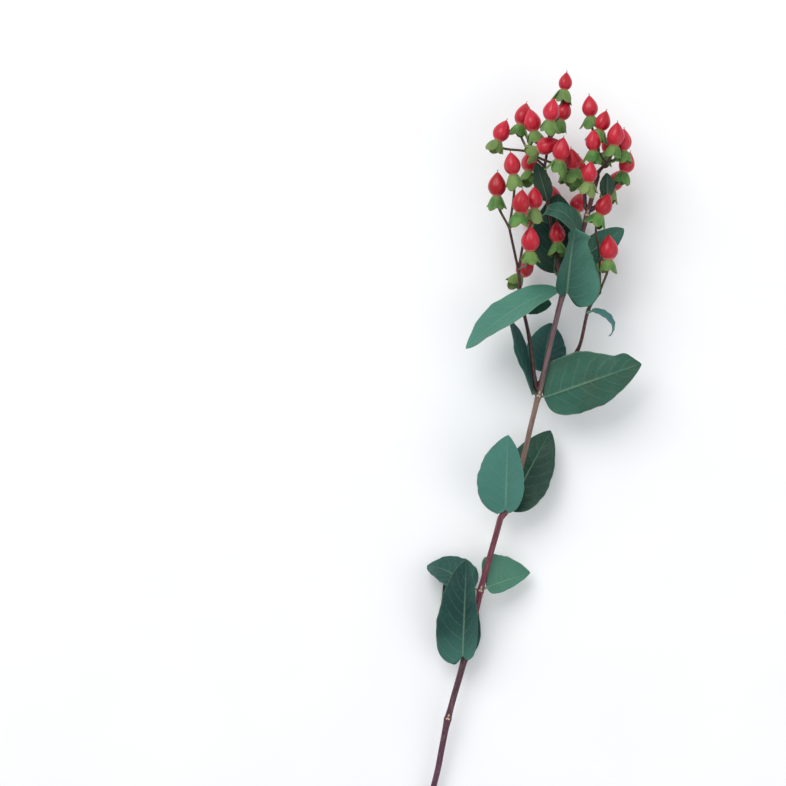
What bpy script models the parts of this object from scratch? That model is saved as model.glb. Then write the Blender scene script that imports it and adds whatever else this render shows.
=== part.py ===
"""A cut stem of hypericum berries, lying down on a flat surface.

The stem runs along +Y from its cut end to its head of berries, and +Z is up. It rests on the
underside of its cut end, on a flat spot of its lowest leaf and on two low berries of its head.
All places are first given in millimetres from the cut end of the stem, and moved to the middle
of the footprint when each mesh is made.
"""

import math
import random

import bpy
from mathutils import Matrix, Vector

MM = 0.001
FOOTPRINT_CENTRE = Vector((-7.42, 244.78, 0.0))

# The woody stem
STEM_LENGTH = 434.0
CUT_END_RADIUS = 2.0
TOP_RADIUS = 1.35
NODE_SWELLING = 0.2
NODE_SWELLING_REACH = 4.0
STEM_SIDES = 8
HEAD_HEIGHT = 40.5
STEM_ARCH = 0.9
LEAF_NODES = (134.8, 175.4, 227.0, 298.0, 361.5, 410.3)
STRIPPED_NODES = (45.0, 95.0)
STEM_LINE = ((0.0, 0.4), (56.0, -0.4), (99.0, -2.7), (134.8, -2.2), (165.0, -3.0), (175.4, -3.6),
             (220.0, -3.2), (227.0, -1.1), (250.0, 0.8), (298.0, -0.1), (339.0, -1.5),
             (361.5, -1.8), (391.0, 0.3), (410.3, 0.1), (STEM_LENGTH, 0.2))

# The leaves
BLADE_THICKNESS = 0.7
BLADE_ROOT_HALF_WIDTH = 1.6
BLADE_TIP_HALF_WIDTH = 0.35
BLADE_FOOT = 0.45
BLADE_POINT = 0.75
BLADE_ROWS = (0.0, 0.05, 0.15, 0.3, 0.46, 0.62, 0.77, 0.9, 1.0)
BLADE_COLUMNS = (-1.0, -0.55, 0.0, 0.55, 1.0)
MIDRIB_STEPS = 36
FOLD_RUN = 0.45
TIP_RUN = 0.2
BRACT_ROWS = (0.0, 0.15, 0.45, 0.75, 1.0)
BRACT_COLUMNS = (-1.0, 0.0, 1.0)
JOIN_GAP = 0.3
STEM_CLEARANCE = 1.2

# The berries and their stalks
BERRY_WIDTH_RATIO = 0.74
BERRY_SIDES = 7
BERRY_RINGS = (0.1, 0.38, 0.68, 0.9)
PEDICEL_RADIUS = 0.72
BRANCH_RADIUS = 1.05
STALK_SIDES = 4
SEPALS_PER_BERRY = 5
SEPAL_THICKNESS = 0.7
SEPAL_LENGTH = 8.8
SEPAL_HALF_WIDTH = 3.1
SEPAL_WIDEST = 0.66
SEPAL_BACK = (22, 40)
CALYX_CENTRE = 0.55
CALYX_NOTCH = 2.3
SPLAY = 0.011

STALK_SLOT, SEPAL_SLOT, BERRY_SLOT = 0, 1, 2


def material(name, colour, roughness):
    made = bpy.data.materials.new(name)
    made.use_nodes = True
    shader = made.node_tree.nodes["Principled BSDF"]
    shader.inputs["Base Color"].default_value = (*colour, 1.0)
    shader.inputs["Roughness"].default_value = roughness
    shader.inputs["Metallic"].default_value = 0.0
    made.diffuse_color = (*colour, 1.0)
    return made


def make_object(name, points, faces, materials, slot=0):
    """An object from points in millimetres along the stem, in its place in metres."""
    mesh = bpy.data.meshes.new(name)
    mesh.from_pydata([(Vector(p) - FOOTPRINT_CENTRE) * MM for p in points], [], faces)
    for made in materials:
        mesh.materials.append(made)
    for face in mesh.polygons:
        face.material_index = slot
        face.use_smooth = True
    mesh.update()
    made = bpy.data.objects.new(name, mesh)
    bpy.context.scene.collection.objects.link(made)
    return made


def curve_through(points, fraction):
    """A place on the smooth curve through the points, at 0 to 1 of its run."""
    spans = len(points) - 1
    run = min(max(fraction, 0.0), 1.0) * spans
    i = min(int(run), spans - 1)
    u = run - i
    p1, p2 = Vector(points[i]), Vector(points[i + 1])
    p0 = Vector(points[i - 1]) if i > 0 else p1 * 2 - p2
    p3 = Vector(points[i + 2]) if i + 2 <= spans else p2 * 2 - p1
    return 0.5 * (2 * p1 + (p2 - p0) * u + (2 * p0 - 5 * p1 + 4 * p2 - p3) * u * u
                  + (3 * p1 - p0 - 3 * p2 + p3) * u ** 3)


def stem_radius(y):
    """The stem thins towards its top, widens up each internode and swells at each node."""
    along = y / STEM_LENGTH
    radius = CUT_END_RADIUS + (TOP_RADIUS - CUT_END_RADIUS) * along
    nodes = STRIPPED_NODES + LEAF_NODES
    below = max([n for n in nodes if n < y], default=0.0)
    above = min([n for n in nodes if n >= y], default=STEM_LENGTH + 40.0)
    radius *= 0.94 + 0.12 * ((y - below) / (above - below)) ** 2
    for node in nodes:
        radius *= 1 + NODE_SWELLING * math.exp(-((y - node) / NODE_SWELLING_REACH) ** 2)
    return radius


def stem_axis(y):
    """The centre of the stem: its sideways line as it grew, its rise from the surface."""
    for (y0, x0), (y1, x1) in zip(STEM_LINE, STEM_LINE[1:]):
        if y <= y1:
            break
    ease = (y - y0) / (y1 - y0)
    x = x0 + (x1 - x0) * ease * ease * (3 - 2 * ease)
    rest = CUT_END_RADIUS * 0.94 * math.cos(math.pi / STEM_SIDES)
    rise = (HEAD_HEIGHT - rest) * (max(y, 0.0) / STEM_LENGTH) ** STEM_ARCH
    return Vector((x, y, rest + rise))


def stem_tangent(y):
    return (stem_axis(min(y + 3.0, STEM_LENGTH)) - stem_axis(max(y - 3.0, 0.0))).normalized()


def tube(centres, radii, sides):
    """Rings of points round a line of centres, closed by a fan at each end."""
    points, faces = [], []
    count = len(centres)
    across = Vector((1.0, 0.0, 0.0))
    for i, centre in enumerate(centres):
        ahead = centres[min(i + 1, count - 1)] - centres[max(i - 1, 0)]
        ahead.normalize()
        across = (across - ahead * across.dot(ahead)).normalized()
        up = across.cross(ahead)
        for k in range(sides):
            turn = 2 * math.pi * k / sides
            points.append(centre + (across * math.cos(turn) + up * math.sin(turn)) * radii[i])
    for i in range(count - 1):
        for k in range(sides):
            a, b = i * sides + k, i * sides + (k + 1) % sides
            faces.append((a, b, b + sides, a + sides))
    faces.append(tuple(range(sides - 1, -1, -1)))
    faces.append(tuple(range((count - 1) * sides, count * sides)))
    return points, faces


def facing_out(points, faces):
    """The faces, all turned over if they enclose their points inside out."""
    middle = sum((Vector(p) for p in points), Vector()) / len(points)
    volume = 0.0
    for face in faces:
        corners = [Vector(points[i]) - middle for i in face]
        for b, c in zip(corners[1:], corners[2:]):
            volume += corners[0].dot(b.cross(c))
    return faces if volume > 0 else [tuple(reversed(face)) for face in faces]


def main_stem():
    """The woody stem in one piece, square-cut at its foot and at its fork."""
    heights = {0.0, 3.0, STEM_LENGTH}
    for node in STRIPPED_NODES + LEAF_NODES:
        heights.update((node - 9.0, node - 3.5, node, node + 3.5, node + 9.0))
    step = 20.0
    for i in range(1, int(STEM_LENGTH / step)):
        if all(abs(i * step - h) > 0.5 * step for h in heights):
            heights.add(i * step)
    heights = sorted(heights)
    centres = [stem_axis(y) for y in heights]
    points, faces = tube(centres, [stem_radius(y) for y in heights], STEM_SIDES)
    points = [Vector((p.x, p.y, max(p.z, 0.0))) for p in points]
    bark = material("bark", (0.19, 0.085, 0.075), 0.55)
    return make_object("main_stem", points, facing_out(points, faces), [bark])


def midrib(base, heading, rise, roll, length, bend, twist, early=False):
    """Places and frames along a leaf's midrib: ahead, across and out of its upper side."""
    heading, rise, roll = math.radians(heading), math.radians(rise), math.radians(roll)
    ahead = Vector((math.sin(heading) * math.cos(rise), math.cos(heading) * math.cos(rise),
                    math.sin(rise)))
    upper = Vector((0.0, 0.0, 1.0))
    upper = (upper - ahead * upper.dot(ahead)).normalized()
    upper.rotate(Matrix.Rotation(roll, 3, ahead))
    place = Vector(base)
    frames = [(place.copy(), ahead.copy(), upper.copy())]
    step = length / MIDRIB_STEPS
    for i in range(MIDRIB_STEPS):
        t = (i + 0.5) / MIDRIB_STEPS
        turn = math.radians(bend) * (0.35 + 1.3 * (1 - t if early else t)) / MIDRIB_STEPS
        across = ahead.cross(upper)
        ahead.rotate(Matrix.Rotation(-turn, 3, across))
        upper.rotate(Matrix.Rotation(-turn, 3, across))
        upper.rotate(Matrix.Rotation(math.radians(twist) / MIDRIB_STEPS, 3, ahead))
        place = place + ahead * step
        frames.append((place.copy(), ahead.copy(), upper.copy()))
    return frames


def half_width(t, width, foot=BLADE_FOOT):
    """An oval leaf with a broad clasping foot and a blunt point, the widest at its peak."""
    peak = foot / (foot + BLADE_POINT)
    most = peak ** foot * (1 - peak) ** BLADE_POINT
    oval = t ** foot * (1 - t) ** BLADE_POINT / most if 0 < t < 1 else 0.0
    least = BLADE_ROOT_HALF_WIDTH * (1 - t) + BLADE_TIP_HALF_WIDTH * t
    return max(width / 2 * oval, least)


def clear_of_stem(point):
    """A point of a blade, moved out where it would come too close to the stem."""
    y = min(max(point.y, 0.0), STEM_LENGTH)
    axis = stem_axis(y)
    if abs(point.y - y) > 1.0:
        return point
    off = Vector((point.x - axis.x, 0.0, point.z - axis.z))
    least = stem_radius(y) + STEM_CLEARANCE
    if 0.01 < off.length < least:
        off = off.normalized() * least
        return Vector((axis.x + off.x, point.y, axis.z + off.z))
    return point


def thickened(middle, splits, rim, thickness):
    """A closed solid round a surface of triangles, with both faces split alike."""
    normals = [Vector() for _ in middle]
    for a, b, c in splits:
        normal = (middle[b] - middle[a]).cross(middle[c] - middle[a]).normalized()
        for i in (a, b, c):
            normals[i] += normal
    half = thickness / 2
    points = [p + n.normalized() * half for p, n in zip(middle, normals)]
    points += [p - n.normalized() * half for p, n in zip(middle, normals)]
    points = [Vector((p.x, p.y, max(p.z, 0.0))) for p in points]
    other = len(middle)
    faces = list(splits) + [(c + other, b + other, a + other) for a, b, c in splits]
    for a, b in zip(rim, rim[1:] + rim[:1]):
        faces += [(b, a, a + other), (b, a + other, b + other)]
    return points, facing_out(points, faces)


def margin(edge, t):
    """How far a margin stands out from the oval or in, eased between the places given."""
    places = ((0.0, 1.0),) + edge + ((1.0, 1.0),)
    for (t0, out0), (t1, out1) in zip(places, places[1:]):
        if t <= t1:
            break
    ease = (t - t0) / (t1 - t0)
    return out0 + (out1 - out0) * ease * ease * (3 - 2 * ease)


def blade(base, heading, rise, roll, length, width, bend=0.0, twist=0.0, fold=8.0,
          tip_fold=None, foot=BLADE_FOOT, lobe=0.0, halves=(1.0, 1.0), edges=((), ()),
          wave=0.0, waves=1.5, early=False, rows=BLADE_ROWS, columns=BLADE_COLUMNS,
          beside_stem=True):
    """A closed leaf blade: its middle surface, thickened, with both faces split alike."""
    frames = midrib(base, heading, rise, roll, length, bend, twist, early)
    tip_fold = fold if tip_fold is None else tip_fold
    middle = []
    for t in rows:
        place, ahead, upper = frames[round(t * MIDRIB_STEPS)]
        across = ahead.cross(upper)
        widest = max(half_width(t, width, foot), 0.8 * lobe * (1 - t) ** 2)
        lift = math.radians(fold + (tip_fold - fold) * min(t / FOLD_RUN, 1.0))
        lift *= min((1 - t) / TIP_RUN, 1.0)
        for v in columns:
            reach = max(widest * halves[v > 0] * margin(edges[v > 0], t), BLADE_TIP_HALF_WIDTH)
            raised = reach * abs(v) ** 1.3 * math.sin(lift)
            swing = math.sin(2 * math.pi * waves * t + (1.3 if v > 0 else 0.0))
            raised += wave * swing * math.sin(math.pi * t) * v * v
            point = place + across * (reach * v * math.cos(lift)) + upper * raised
            back = lobe * halves[v > 0] * math.sin(0.5 * math.pi * abs(v))
            point -= ahead * (back * (1 - t) ** 5)
            if beside_stem:
                point = clear_of_stem(point)
            point.z = max(point.z, BLADE_THICKNESS / 2)
            middle.append(point)
    wide, long = len(columns), len(rows)
    splits = []
    for i in range(long - 1):
        for k in range(wide - 1):
            a = i * wide + k
            splits += [(a, a + 1, a + wide + 1), (a, a + wide + 1, a + wide)]
    rim = [k for k in range(wide)]
    rim += [i * wide + wide - 1 for i in range(1, long)]
    rim += [(long - 1) * wide + k for k in range(wide - 2, -1, -1)]
    rim += [i * wide for i in range(long - 2, 0, -1)]
    return thickened(middle, splits, rim, BLADE_THICKNESS)


def leaf_base(y, side, gap=0.0):
    """Where a leaf leaves the stem: its height along it and the side, 0 right and 90 up."""
    side = math.radians(side)
    reach = stem_radius(y) + STEM_CLEARANCE + gap
    return stem_axis(y) + Vector((math.cos(side), 0.0, math.sin(side))) * reach


def leaves():
    """The stem's leaves, in opposite pairs, and the larger leaves of its side shoots."""
    n1, n2, n3, n4, n5, n6 = LEAF_NODES
    upper = material("leaf", (0.035, 0.135, 0.1), 0.45)
    pairs = (
        ("leaf_1_front", dict(base=leaf_base(n1, 110, 1.5), heading=-13, rise=24, roll=178,
                              length=67, width=36, bend=10, fold=14, tip_fold=26, foot=0.25,
                              lobe=7, halves=(0.5, 1.0), wave=1.2)),
        ("leaf_1_under", dict(base=leaf_base(n1, 285), heading=-24, rise=-34, roll=0, length=62,
                              width=23, bend=-34, fold=4)),
        ("leaf_2_left", dict(base=leaf_base(n2, 185, 0.8), heading=-66, rise=-4, roll=38, length=34,
                             width=26, bend=50, fold=14)),
        ("leaf_2_right", dict(base=leaf_base(n2 + 3.0, 345, 0.4), heading=57, rise=-16, roll=-10,
                              length=29, width=30, bend=4, fold=10, foot=0.25,
                              halves=(1.2, 0.4))),
        ("leaf_3_front", dict(base=leaf_base(n3, 100), heading=-14, rise=36, roll=176, length=54,
                              width=30, bend=-6, fold=12, foot=0.35, lobe=4,
                              halves=(0.72, 1.22), wave=0.8)),
        ("leaf_3_back", dict(base=leaf_base(n3, 290), heading=14, rise=-12, roll=-6, length=55,
                             width=31, bend=-8, fold=8)),
        ("leaf_4_right", dict(base=leaf_base(n4, 340, 0.6), heading=56, rise=4, roll=184, length=62,
                              width=37, bend=4, fold=5, foot=0.34, halves=(0.88, 1.05),
                              edges=(((0.3, 1.0), (0.65, 1.1)),
                                     ((0.5, 1.05), (0.77, 0.86), (0.9, 1.3))), wave=2.4)),
        ("leaf_4_left", dict(base=leaf_base(n4, 165), heading=-36, rise=-1, roll=74, length=52,
                             width=29, bend=-10, fold=10, wave=1.0)),
        ("leaf_5_front", dict(base=leaf_base(n5 + 1.0, 72, 3.6), heading=-11, rise=42, roll=166,
                              length=46, width=41, bend=-18, fold=13, tip_fold=47, foot=0.2,
                              lobe=11, halves=(1.0, 0.42),
                              edges=(((0.7, 0.9), (0.95, 1.7)), ((0.7, 1.0), (0.95, 1.7))))),
        ("leaf_5_left", dict(base=leaf_base(n5 + 1.5, 212, 0.8), heading=-119, rise=21, roll=56,
                             length=68, width=26, bend=36, fold=12, foot=0.6, wave=0.8,
                             early=True)),
        ("leaf_6_left", dict(base=leaf_base(n6 - 14.0, 125, 1.0), heading=-20, rise=46, roll=60,
                             length=43, width=14, bend=225, fold=8)),
    )
    for name, shape in pairs:
        points, faces = blade(**shape)
        make_object(name, points, faces, [upper])
    shoots = (
        ("shoot_leaf_left", dict(base=(-10.0, 372.0, 26.0), heading=-12, rise=-2, roll=4,
                                 length=48, width=32, bend=-6, fold=8)),
        ("shoot_leaf_right", dict(base=(-1.0, 313.0, 11.0), heading=-5, rise=2, roll=0, length=30,
                                  width=25, bend=4, fold=8)),
        ("shoot_leaf_small", dict(base=leaf_base(382.0, 330), heading=38, rise=0, roll=176,
                                  length=38, width=17, bend=-50, fold=10)),
        ("shoot_leaf_curled", dict(base=(17.6, 356.0, 35.0), heading=86, rise=10, roll=-60,
                                   length=25, width=8, bend=135, fold=10,
                                   beside_stem=False)),
    )
    for name, shape in shoots:
        points, faces = blade(**shape)
        make_object(name, points, faces, [upper])


def frame_of(direction, turn):
    """Two directions square to a berry's axis, turned about it."""
    side = direction.cross(Vector((0.0, 0.0, 1.0)))
    if side.length < 0.1:
        side = direction.cross(Vector((1.0, 0.0, 0.0)))
    side.normalize()
    front = side.cross(direction)
    return (side * math.cos(turn) + front * math.sin(turn),
            front * math.cos(turn) - side * math.sin(turn))


def berry_radius(u):
    """A berry's outline from its seat at 0 to its beak at 1: full below, drawn to a point."""
    return math.sin(math.pi * min(u + 0.035, 1.0) ** 0.8) ** 0.72 * (1 - 0.12 * u * u)


def berry(seat, direction, length, turn):
    """The three-chambered capsule as a turned solid, with a pole at each end."""
    side, front = frame_of(direction, turn)
    radius = length * BERRY_WIDTH_RATIO / 2
    points = [seat - direction * 0.2]
    for u in BERRY_RINGS:
        reach = radius * berry_radius(u)
        for k in range(BERRY_SIDES):
            angle = 2 * math.pi * k / BERRY_SIDES
            points.append(seat + direction * (u * length)
                          + (side * math.cos(angle) + front * math.sin(angle)) * reach)
    points.append(seat + direction * length)
    last = len(points) - 1
    faces = []
    for k in range(BERRY_SIDES):
        following = (k + 1) % BERRY_SIDES
        faces.append((0, 1 + following, 1 + k))
        for ring in range(len(BERRY_RINGS) - 1):
            low, high = 1 + ring * BERRY_SIDES, 1 + (ring + 1) * BERRY_SIDES
            faces.append((low + k, low + following, high + following, high + k))
        top = 1 + (len(BERRY_RINGS) - 1) * BERRY_SIDES
        faces.append((top + k, top + following, last))
    return points, facing_out(points, faces)


def calyx(seat, direction, draws):
    """Five sepals of uneven size, bent back from a ring below the berry, in one piece."""
    first = draws.uniform(0, 2 * math.pi)
    step = 2 * math.pi / SEPALS_PER_BERRY
    middle = [seat + direction * CALYX_CENTRE]
    splits, rim = [], []
    for k in range(SEPALS_PER_BERRY):
        notch, _ = frame_of(direction, first + (k - 0.5) * step)
        middle.append(seat + notch * CALYX_NOTCH + direction * 0.3)
    for k in range(SEPALS_PER_BERRY):
        size = 1.0 if k in (0, 2) else 0.88
        back = math.radians(draws.uniform(*SEPAL_BACK))
        length = SEPAL_LENGTH * size * draws.uniform(0.92, 1.08)
        half = SEPAL_HALF_WIDTH * size
        outward, sideways = frame_of(direction, first + k * step)
        run = -direction * math.cos(back) + outward * math.sin(back)
        face = outward * math.cos(back) + direction * math.sin(back)
        knee = seat + outward * 2.7
        wide, tip = knee + run * (SEPAL_WIDEST * length), knee + run * length
        at = len(middle)
        middle += [knee, wide - sideways * half - face * 0.5, wide + face * 0.4,
                   wide + sideways * half - face * 0.5,
                   tip - sideways * (0.45 * half) - face * 0.4,
                   tip + sideways * (0.45 * half) - face * 0.4]
        low, high = 1 + k, 1 + (k + 1) % SEPALS_PER_BERRY
        left, centre, right, tip_left, tip_right = range(at + 1, at + 6)
        splits += [(0, low, at), (0, at, high), (low, left, centre), (low, centre, at),
                   (at, centre, high), (high, centre, right), (left, tip_left, centre),
                   (tip_left, tip_right, centre), (tip_right, right, centre)]
        rim += [low, left, tip_left, tip_right, right]
    return thickened(middle, splits, rim, SEPAL_THICKNESS)


def stalk(start, leaving, end, arriving, radius, end_radius, runs=3):
    """A stalk on a smooth bend from its fork to its end."""
    span = (end - start).length
    first = start + leaving * (0.35 * span)
    second = end - arriving * (0.4 * span)
    centres, radii = [], []
    for i in range(runs + 1):
        u = i / runs
        centres.append(start * (1 - u) ** 3 + first * (3 * u * (1 - u) ** 2)
                       + second * (3 * u * u * (1 - u)) + end * u ** 3)
        radii.append(radius + (end_radius - radius) * u)
    points, faces = tube(centres, radii, STALK_SIDES)
    return points, facing_out(points, faces)


def berry_direction(heading, height):
    """Berries point along the stem and lean out from the middle of the head."""
    heading = math.radians(heading)
    lean = SPLAY * (height - HEAD_HEIGHT)
    return Vector((math.sin(heading), math.cos(heading), lean)).normalized()


def fuse(name, pieces, materials):
    """One solid from many: a union of the first piece with a collection of the others."""
    body_points, body_faces, body_slot = pieces[0]
    body = make_object(name, body_points, body_faces, materials, body_slot)
    others = bpy.data.collections.new(name + "_pieces")
    bpy.context.scene.collection.children.link(others)
    for i, (points, faces, slot) in enumerate(pieces[1:]):
        piece = make_object(f"{name}_piece_{i}", points, faces, materials, slot)
        bpy.context.scene.collection.objects.unlink(piece)
        others.objects.link(piece)
    union = body.modifiers.new("union", "BOOLEAN")
    union.operation = "UNION"
    union.operand_type = "COLLECTION"
    union.collection = others
    union.solver = "EXACT"
    bpy.context.view_layer.update()
    graph = bpy.context.evaluated_depsgraph_get()
    fused = bpy.data.meshes.new_from_object(body.evaluated_get(graph))
    body.modifiers.clear()
    body.data = fused
    for piece in list(others.objects):
        bpy.data.objects.remove(piece)
    bpy.data.collections.remove(others)
    return body


def berry_spray(name, seed, run, berries, materials, forks=(), bracts=()):
    """A branched cluster in one solid.

    run is the line of the main stalk from the axil. forks are short side stalks, each from a
    point of the list to a new point that is added to it. A berry is the number of its fork,
    its middle, its heading and its length, and the word ground where it rests on the surface.
    """
    draws = random.Random(seed)
    joints = [Vector(p) for p in run]
    pieces = []
    count = 3 * (len(joints) - 1)
    centres = [curve_through(joints, i / count) for i in range(count + 1)]
    radii = [BRANCH_RADIUS * (1.12 - 0.2 * i / count) for i in range(count + 1)]
    points, faces = tube(centres, radii, STALK_SIDES)
    pieces.append((points, facing_out(points, faces), STALK_SLOT))
    for parent, place in forks:
        place = Vector(place)
        way = (place - joints[parent]).normalized()
        pieces.append((*stalk(joints[parent] - way * 0.5, way, place, way, PEDICEL_RADIUS * 1.2,
                              PEDICEL_RADIUS * 1.1, 2), STALK_SLOT))
        joints.append(place)
    for fork, middle, heading, length, *resting in berries:
        middle = Vector(middle)
        direction = berry_direction(heading, middle.z)
        seat = middle - direction * (0.5 * length)
        turn = draws.uniform(0, math.pi)
        state = draws.getstate()
        parts = [(*berry(seat, direction, length, turn), BERRY_SLOT)]
        parts.append((*calyx(seat, direction, draws), SEPAL_SLOT))
        if resting:
            lowest = min(p.z for points, _, _ in parts for p in points)
            seat = seat - Vector((0.0, 0.0, lowest))
            draws.setstate(state)
            parts = [(*berry(seat, direction, length, turn), BERRY_SLOT)]
            parts.append((*calyx(seat, direction, draws), SEPAL_SLOT))
        pieces += parts
        start = joints[fork]
        leaving = (seat - start).normalized()
        pieces.append((*stalk(start, leaving, seat + direction * 0.9, direction, PEDICEL_RADIUS,
                              PEDICEL_RADIUS * 1.5), STALK_SLOT))
    for joint, shape in bracts:
        points, faces = blade(base=joints[joint], rows=BRACT_ROWS, columns=BRACT_COLUMNS,
                              beside_stem=False, **shape)
        pieces.append((points, faces, SEPAL_SLOT))
    return fuse(name, pieces, materials)


def axil(y, side, lift=5.0):
    """Where a branch leaves the stem, just above a leaf."""
    side = math.radians(side)
    reach = stem_radius(y + lift) + BRANCH_RADIUS * 1.12 + JOIN_GAP
    return stem_axis(y + lift) + Vector((math.cos(side), 0.0, math.sin(side))) * reach


def berry_head():
    """The sprays: one ends the stem, the others leave the axils of the upper leaves."""
    n4, n5, n6 = LEAF_NODES[3:]
    materials = [material("stalk", (0.13, 0.04, 0.04), 0.5),
                 material("sepal", (0.12, 0.3, 0.09), 0.5),
                 material("berry", (0.6, 0.03, 0.06), 0.25)]
    ahead = stem_tangent(STEM_LENGTH)
    top = stem_axis(STEM_LENGTH) + ahead * (JOIN_GAP + 0.15)
    berry_spray("spray_top", 3, (top, top + ahead * 3.0, (3.2, 443.0, 44.5)), (
        (2, (3.6, 460.3, 62.0), -8, 15.0),
        (2, (9.2, 458.6, 54.0), -13, 14.0),
        (3, (-5.6, 466.5, 56.0), 3, 13.2),
        (3, (-8.4, 453.5, 58.0), -15, 13.5),
        (3, (-15.2, 473.4, 47.0), -19, 13.8),
        (2, (3.0, 456.0, 30.0), 6, 14.0),
    ), materials, forks=((2, (-3.0, 448.0, 46.0)),))
    berry_spray("spray_upper_left", 5, (axil(n6, 215), (-7.0, 428.0, 35.0),
                                        (-17.0, 434.0, 40.0)), (
        (1, (-5.8, 434.3, 66.0), -9, 13.5),
        (1, (-12.4, 438.0, 33.0), -14, 13.5),
        (2, (-25.4, 443.4, 63.0), -5, 15.0),
        (2, (-17.4, 440.0, 52.0), -23, 13.5),
        (2, (-33.5, 444.0, 54.0), 50, 15.0),
        (2, (-19.0, 440.0, 28.0), -10, 14.0),
    ), materials)
    berry_spray("spray_upper_right", 7, (axil(n6, 345), (9.0, 424.0, 37.0), (11.5, 431.0, 36.0)), (
        (2, (15.2, 447.1, 39.0), 2, 13.8),
        (1, (12.0, 436.0, 22.0), 8, 14.0),
    ), materials, bracts=(
        (1, dict(heading=-18, rise=36, roll=180, length=18, width=9, bend=10)),))
    berry_spray("spray_long_left", 11, (axil(n5, 200), (-15.0, 390.0, 33.0), (-25.0, 413.0, 33.0),
                                        (-32.0, 432.0, 40.0)), (
        (4, (-33.1, 484.1, 47.0), -7, 11.6),
        (4, (-37.0, 464.5, 63.0), -4, 14.4),
        (4, (-29.6, 467.5, 44.0), 2, 13.5),
        (5, (-52.2, 459.6, 33.0), 1, 15.0),
        (5, (-46.6, 456.8, 40.5), -25, 15.0),
        (5, (-62.0, 446.2, 42.0), 8, 14.5),
        (3, (-41.5, 433.6, 26.0), -12, 14.0),
        (6, (-14.6, 396.0, 36.0), -18, 14.0),
    ), materials, forks=((3, (-33.5, 447.0, 46.0)), (3, (-44.0, 438.0, 38.0)),
                         (1, (-13.0, 386.0, 34.0))), bracts=(
        (2, dict(heading=-32, rise=30, roll=186, length=26, width=11, bend=-12)),))
    berry_spray("spray_side_right", 13, (axil(n4, 240, 8.0), (6.0, 319.0, 18.0), (16.0, 331.0, 21.0),
                                         (15.6, 355.4, 31.0), (19.5, 368.0, 33.5)), (
        (4, (17.2, 394.6, 47.0), -15, 16.2),
        (5, (7.9, 418.5, 56.0), 10, 14.6),
    ), materials, forks=((4, (14.0, 388.0, 36.0)),))
    berry_spray("spray_low_left", 17, (axil(n4, 185), (-14.0, 330.0, 25.0), (-24.0, 350.0, 24.0),
                                       (-31.0, 368.0, 29.0)), (
        (3, (-29.6, 387.1, 60.0), -13, 16.0),
        (5, (-40.8, 407.1, 66.0), -8, 15.0),
        (4, (-33.5, 411.5, 56.0), -15, 14.0),
        (5, (-51.7, 427.7, 60.0), -23, 14.5),
        (5, (-57.0, 414.0, 52.0), -13, 15.5),
        (2, (-27.0, 372.0, 16.0), 19, 15.0),
    ), materials, forks=((3, (-33.0, 386.0, 45.0)), (3, (-43.0, 390.0, 49.0))), bracts=(
        (2, dict(heading=78, rise=12, roll=0, length=18, width=14, bend=10)),))
    berry_spray("spray_under", 19, (axil(n5, 285), (-6.0, 378.0, 19.0), (-9.0, 390.0, 15.0)), (
        (1, (17.0, 392.0, 5.0), 24, 14.5, "ground"),
        (2, (-33.0, 402.0, 5.0), -38, 14.5, "ground"),
        (2, (-6.0, 418.0, 12.0), 4, 14.0),
        (2, (-22.0, 418.0, 13.0), -24, 14.0),
    ), materials)


def main():
    for old in list(bpy.data.objects):
        bpy.data.objects.remove(old)
    main_stem()
    leaves()
    berry_head()


main()
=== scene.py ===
"""The looks of a cut stem of hypericum berries, lying down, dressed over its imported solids.

Lengths in the sections are millimetres along the stem, with y = 0 at the cut end, x to its right
and z up from the surface. They are turned into metres about the middle of the footprint.
"""

import math
import random

import bpy
import numpy as np
from mathutils import Matrix, Vector


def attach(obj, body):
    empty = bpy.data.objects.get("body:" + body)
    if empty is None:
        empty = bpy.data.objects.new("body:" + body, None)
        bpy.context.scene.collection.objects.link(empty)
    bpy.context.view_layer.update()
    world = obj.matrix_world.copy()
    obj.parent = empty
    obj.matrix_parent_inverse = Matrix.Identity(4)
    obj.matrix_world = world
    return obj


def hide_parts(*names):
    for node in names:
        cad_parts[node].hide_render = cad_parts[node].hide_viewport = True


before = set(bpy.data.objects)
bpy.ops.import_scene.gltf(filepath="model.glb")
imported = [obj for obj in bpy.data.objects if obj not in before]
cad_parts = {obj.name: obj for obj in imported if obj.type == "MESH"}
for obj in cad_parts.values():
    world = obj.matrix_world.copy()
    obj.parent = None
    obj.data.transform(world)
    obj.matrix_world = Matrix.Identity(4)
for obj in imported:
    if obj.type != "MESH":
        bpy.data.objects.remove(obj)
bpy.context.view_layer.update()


# The woody stem: one season's shoot, four millimetres thick, cut square and stripped of its
# lowest leaves. Its thin bark runs from purple below to grey-brown above, the grey-brown among
# the leaves partly its own colour and partly painted shade of the leaves; it is ringed and
# scarred at each leaf pair, and its cut end shows a green rim, cream wood and brown pith.

MM = 0.001
FOOTPRINT_CENTRE = np.array((-7.42, 244.78, 0.0))
STEM_LENGTH, TANGENT_REACH = 434.0, 3.0
CUT_END_RADIUS, TOP_RADIUS = 2.0, 1.35
INTERNODE_WAIST, INTERNODE_FLARE = 0.94, 0.12
NODE_SWELLING, NODE_SWELLING_REACH = 0.2, 4.0
SOLID_STEM_SIDES = 8
HEAD_HEIGHT = 40.5
STEM_ARCH = 0.9
LEAF_NODES = (134.8, 175.4, 227.0, 298.0, 361.5, 410.3)
STEM_NODES = (45.0, 95.0) + LEAF_NODES
UNGROWN_INTERNODE = 40.0
STEM_LINE = ((0.0, 0.4), (56.0, -0.4), (99.0, -2.7), (134.8, -2.2), (165.0, -3.0), (175.4, -3.6),
             (220.0, -3.2), (227.0, -1.1), (250.0, 0.8), (298.0, -0.1), (339.0, -1.5),
             (361.5, -1.8), (391.0, 0.3), (410.3, 0.1), (STEM_LENGTH, 0.2))
STEM_STEP, STEM_SIDES = 1.0, 40
NODE_RING_HEIGHT, NODE_RING_REACH = 0.14, 0.7
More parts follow.
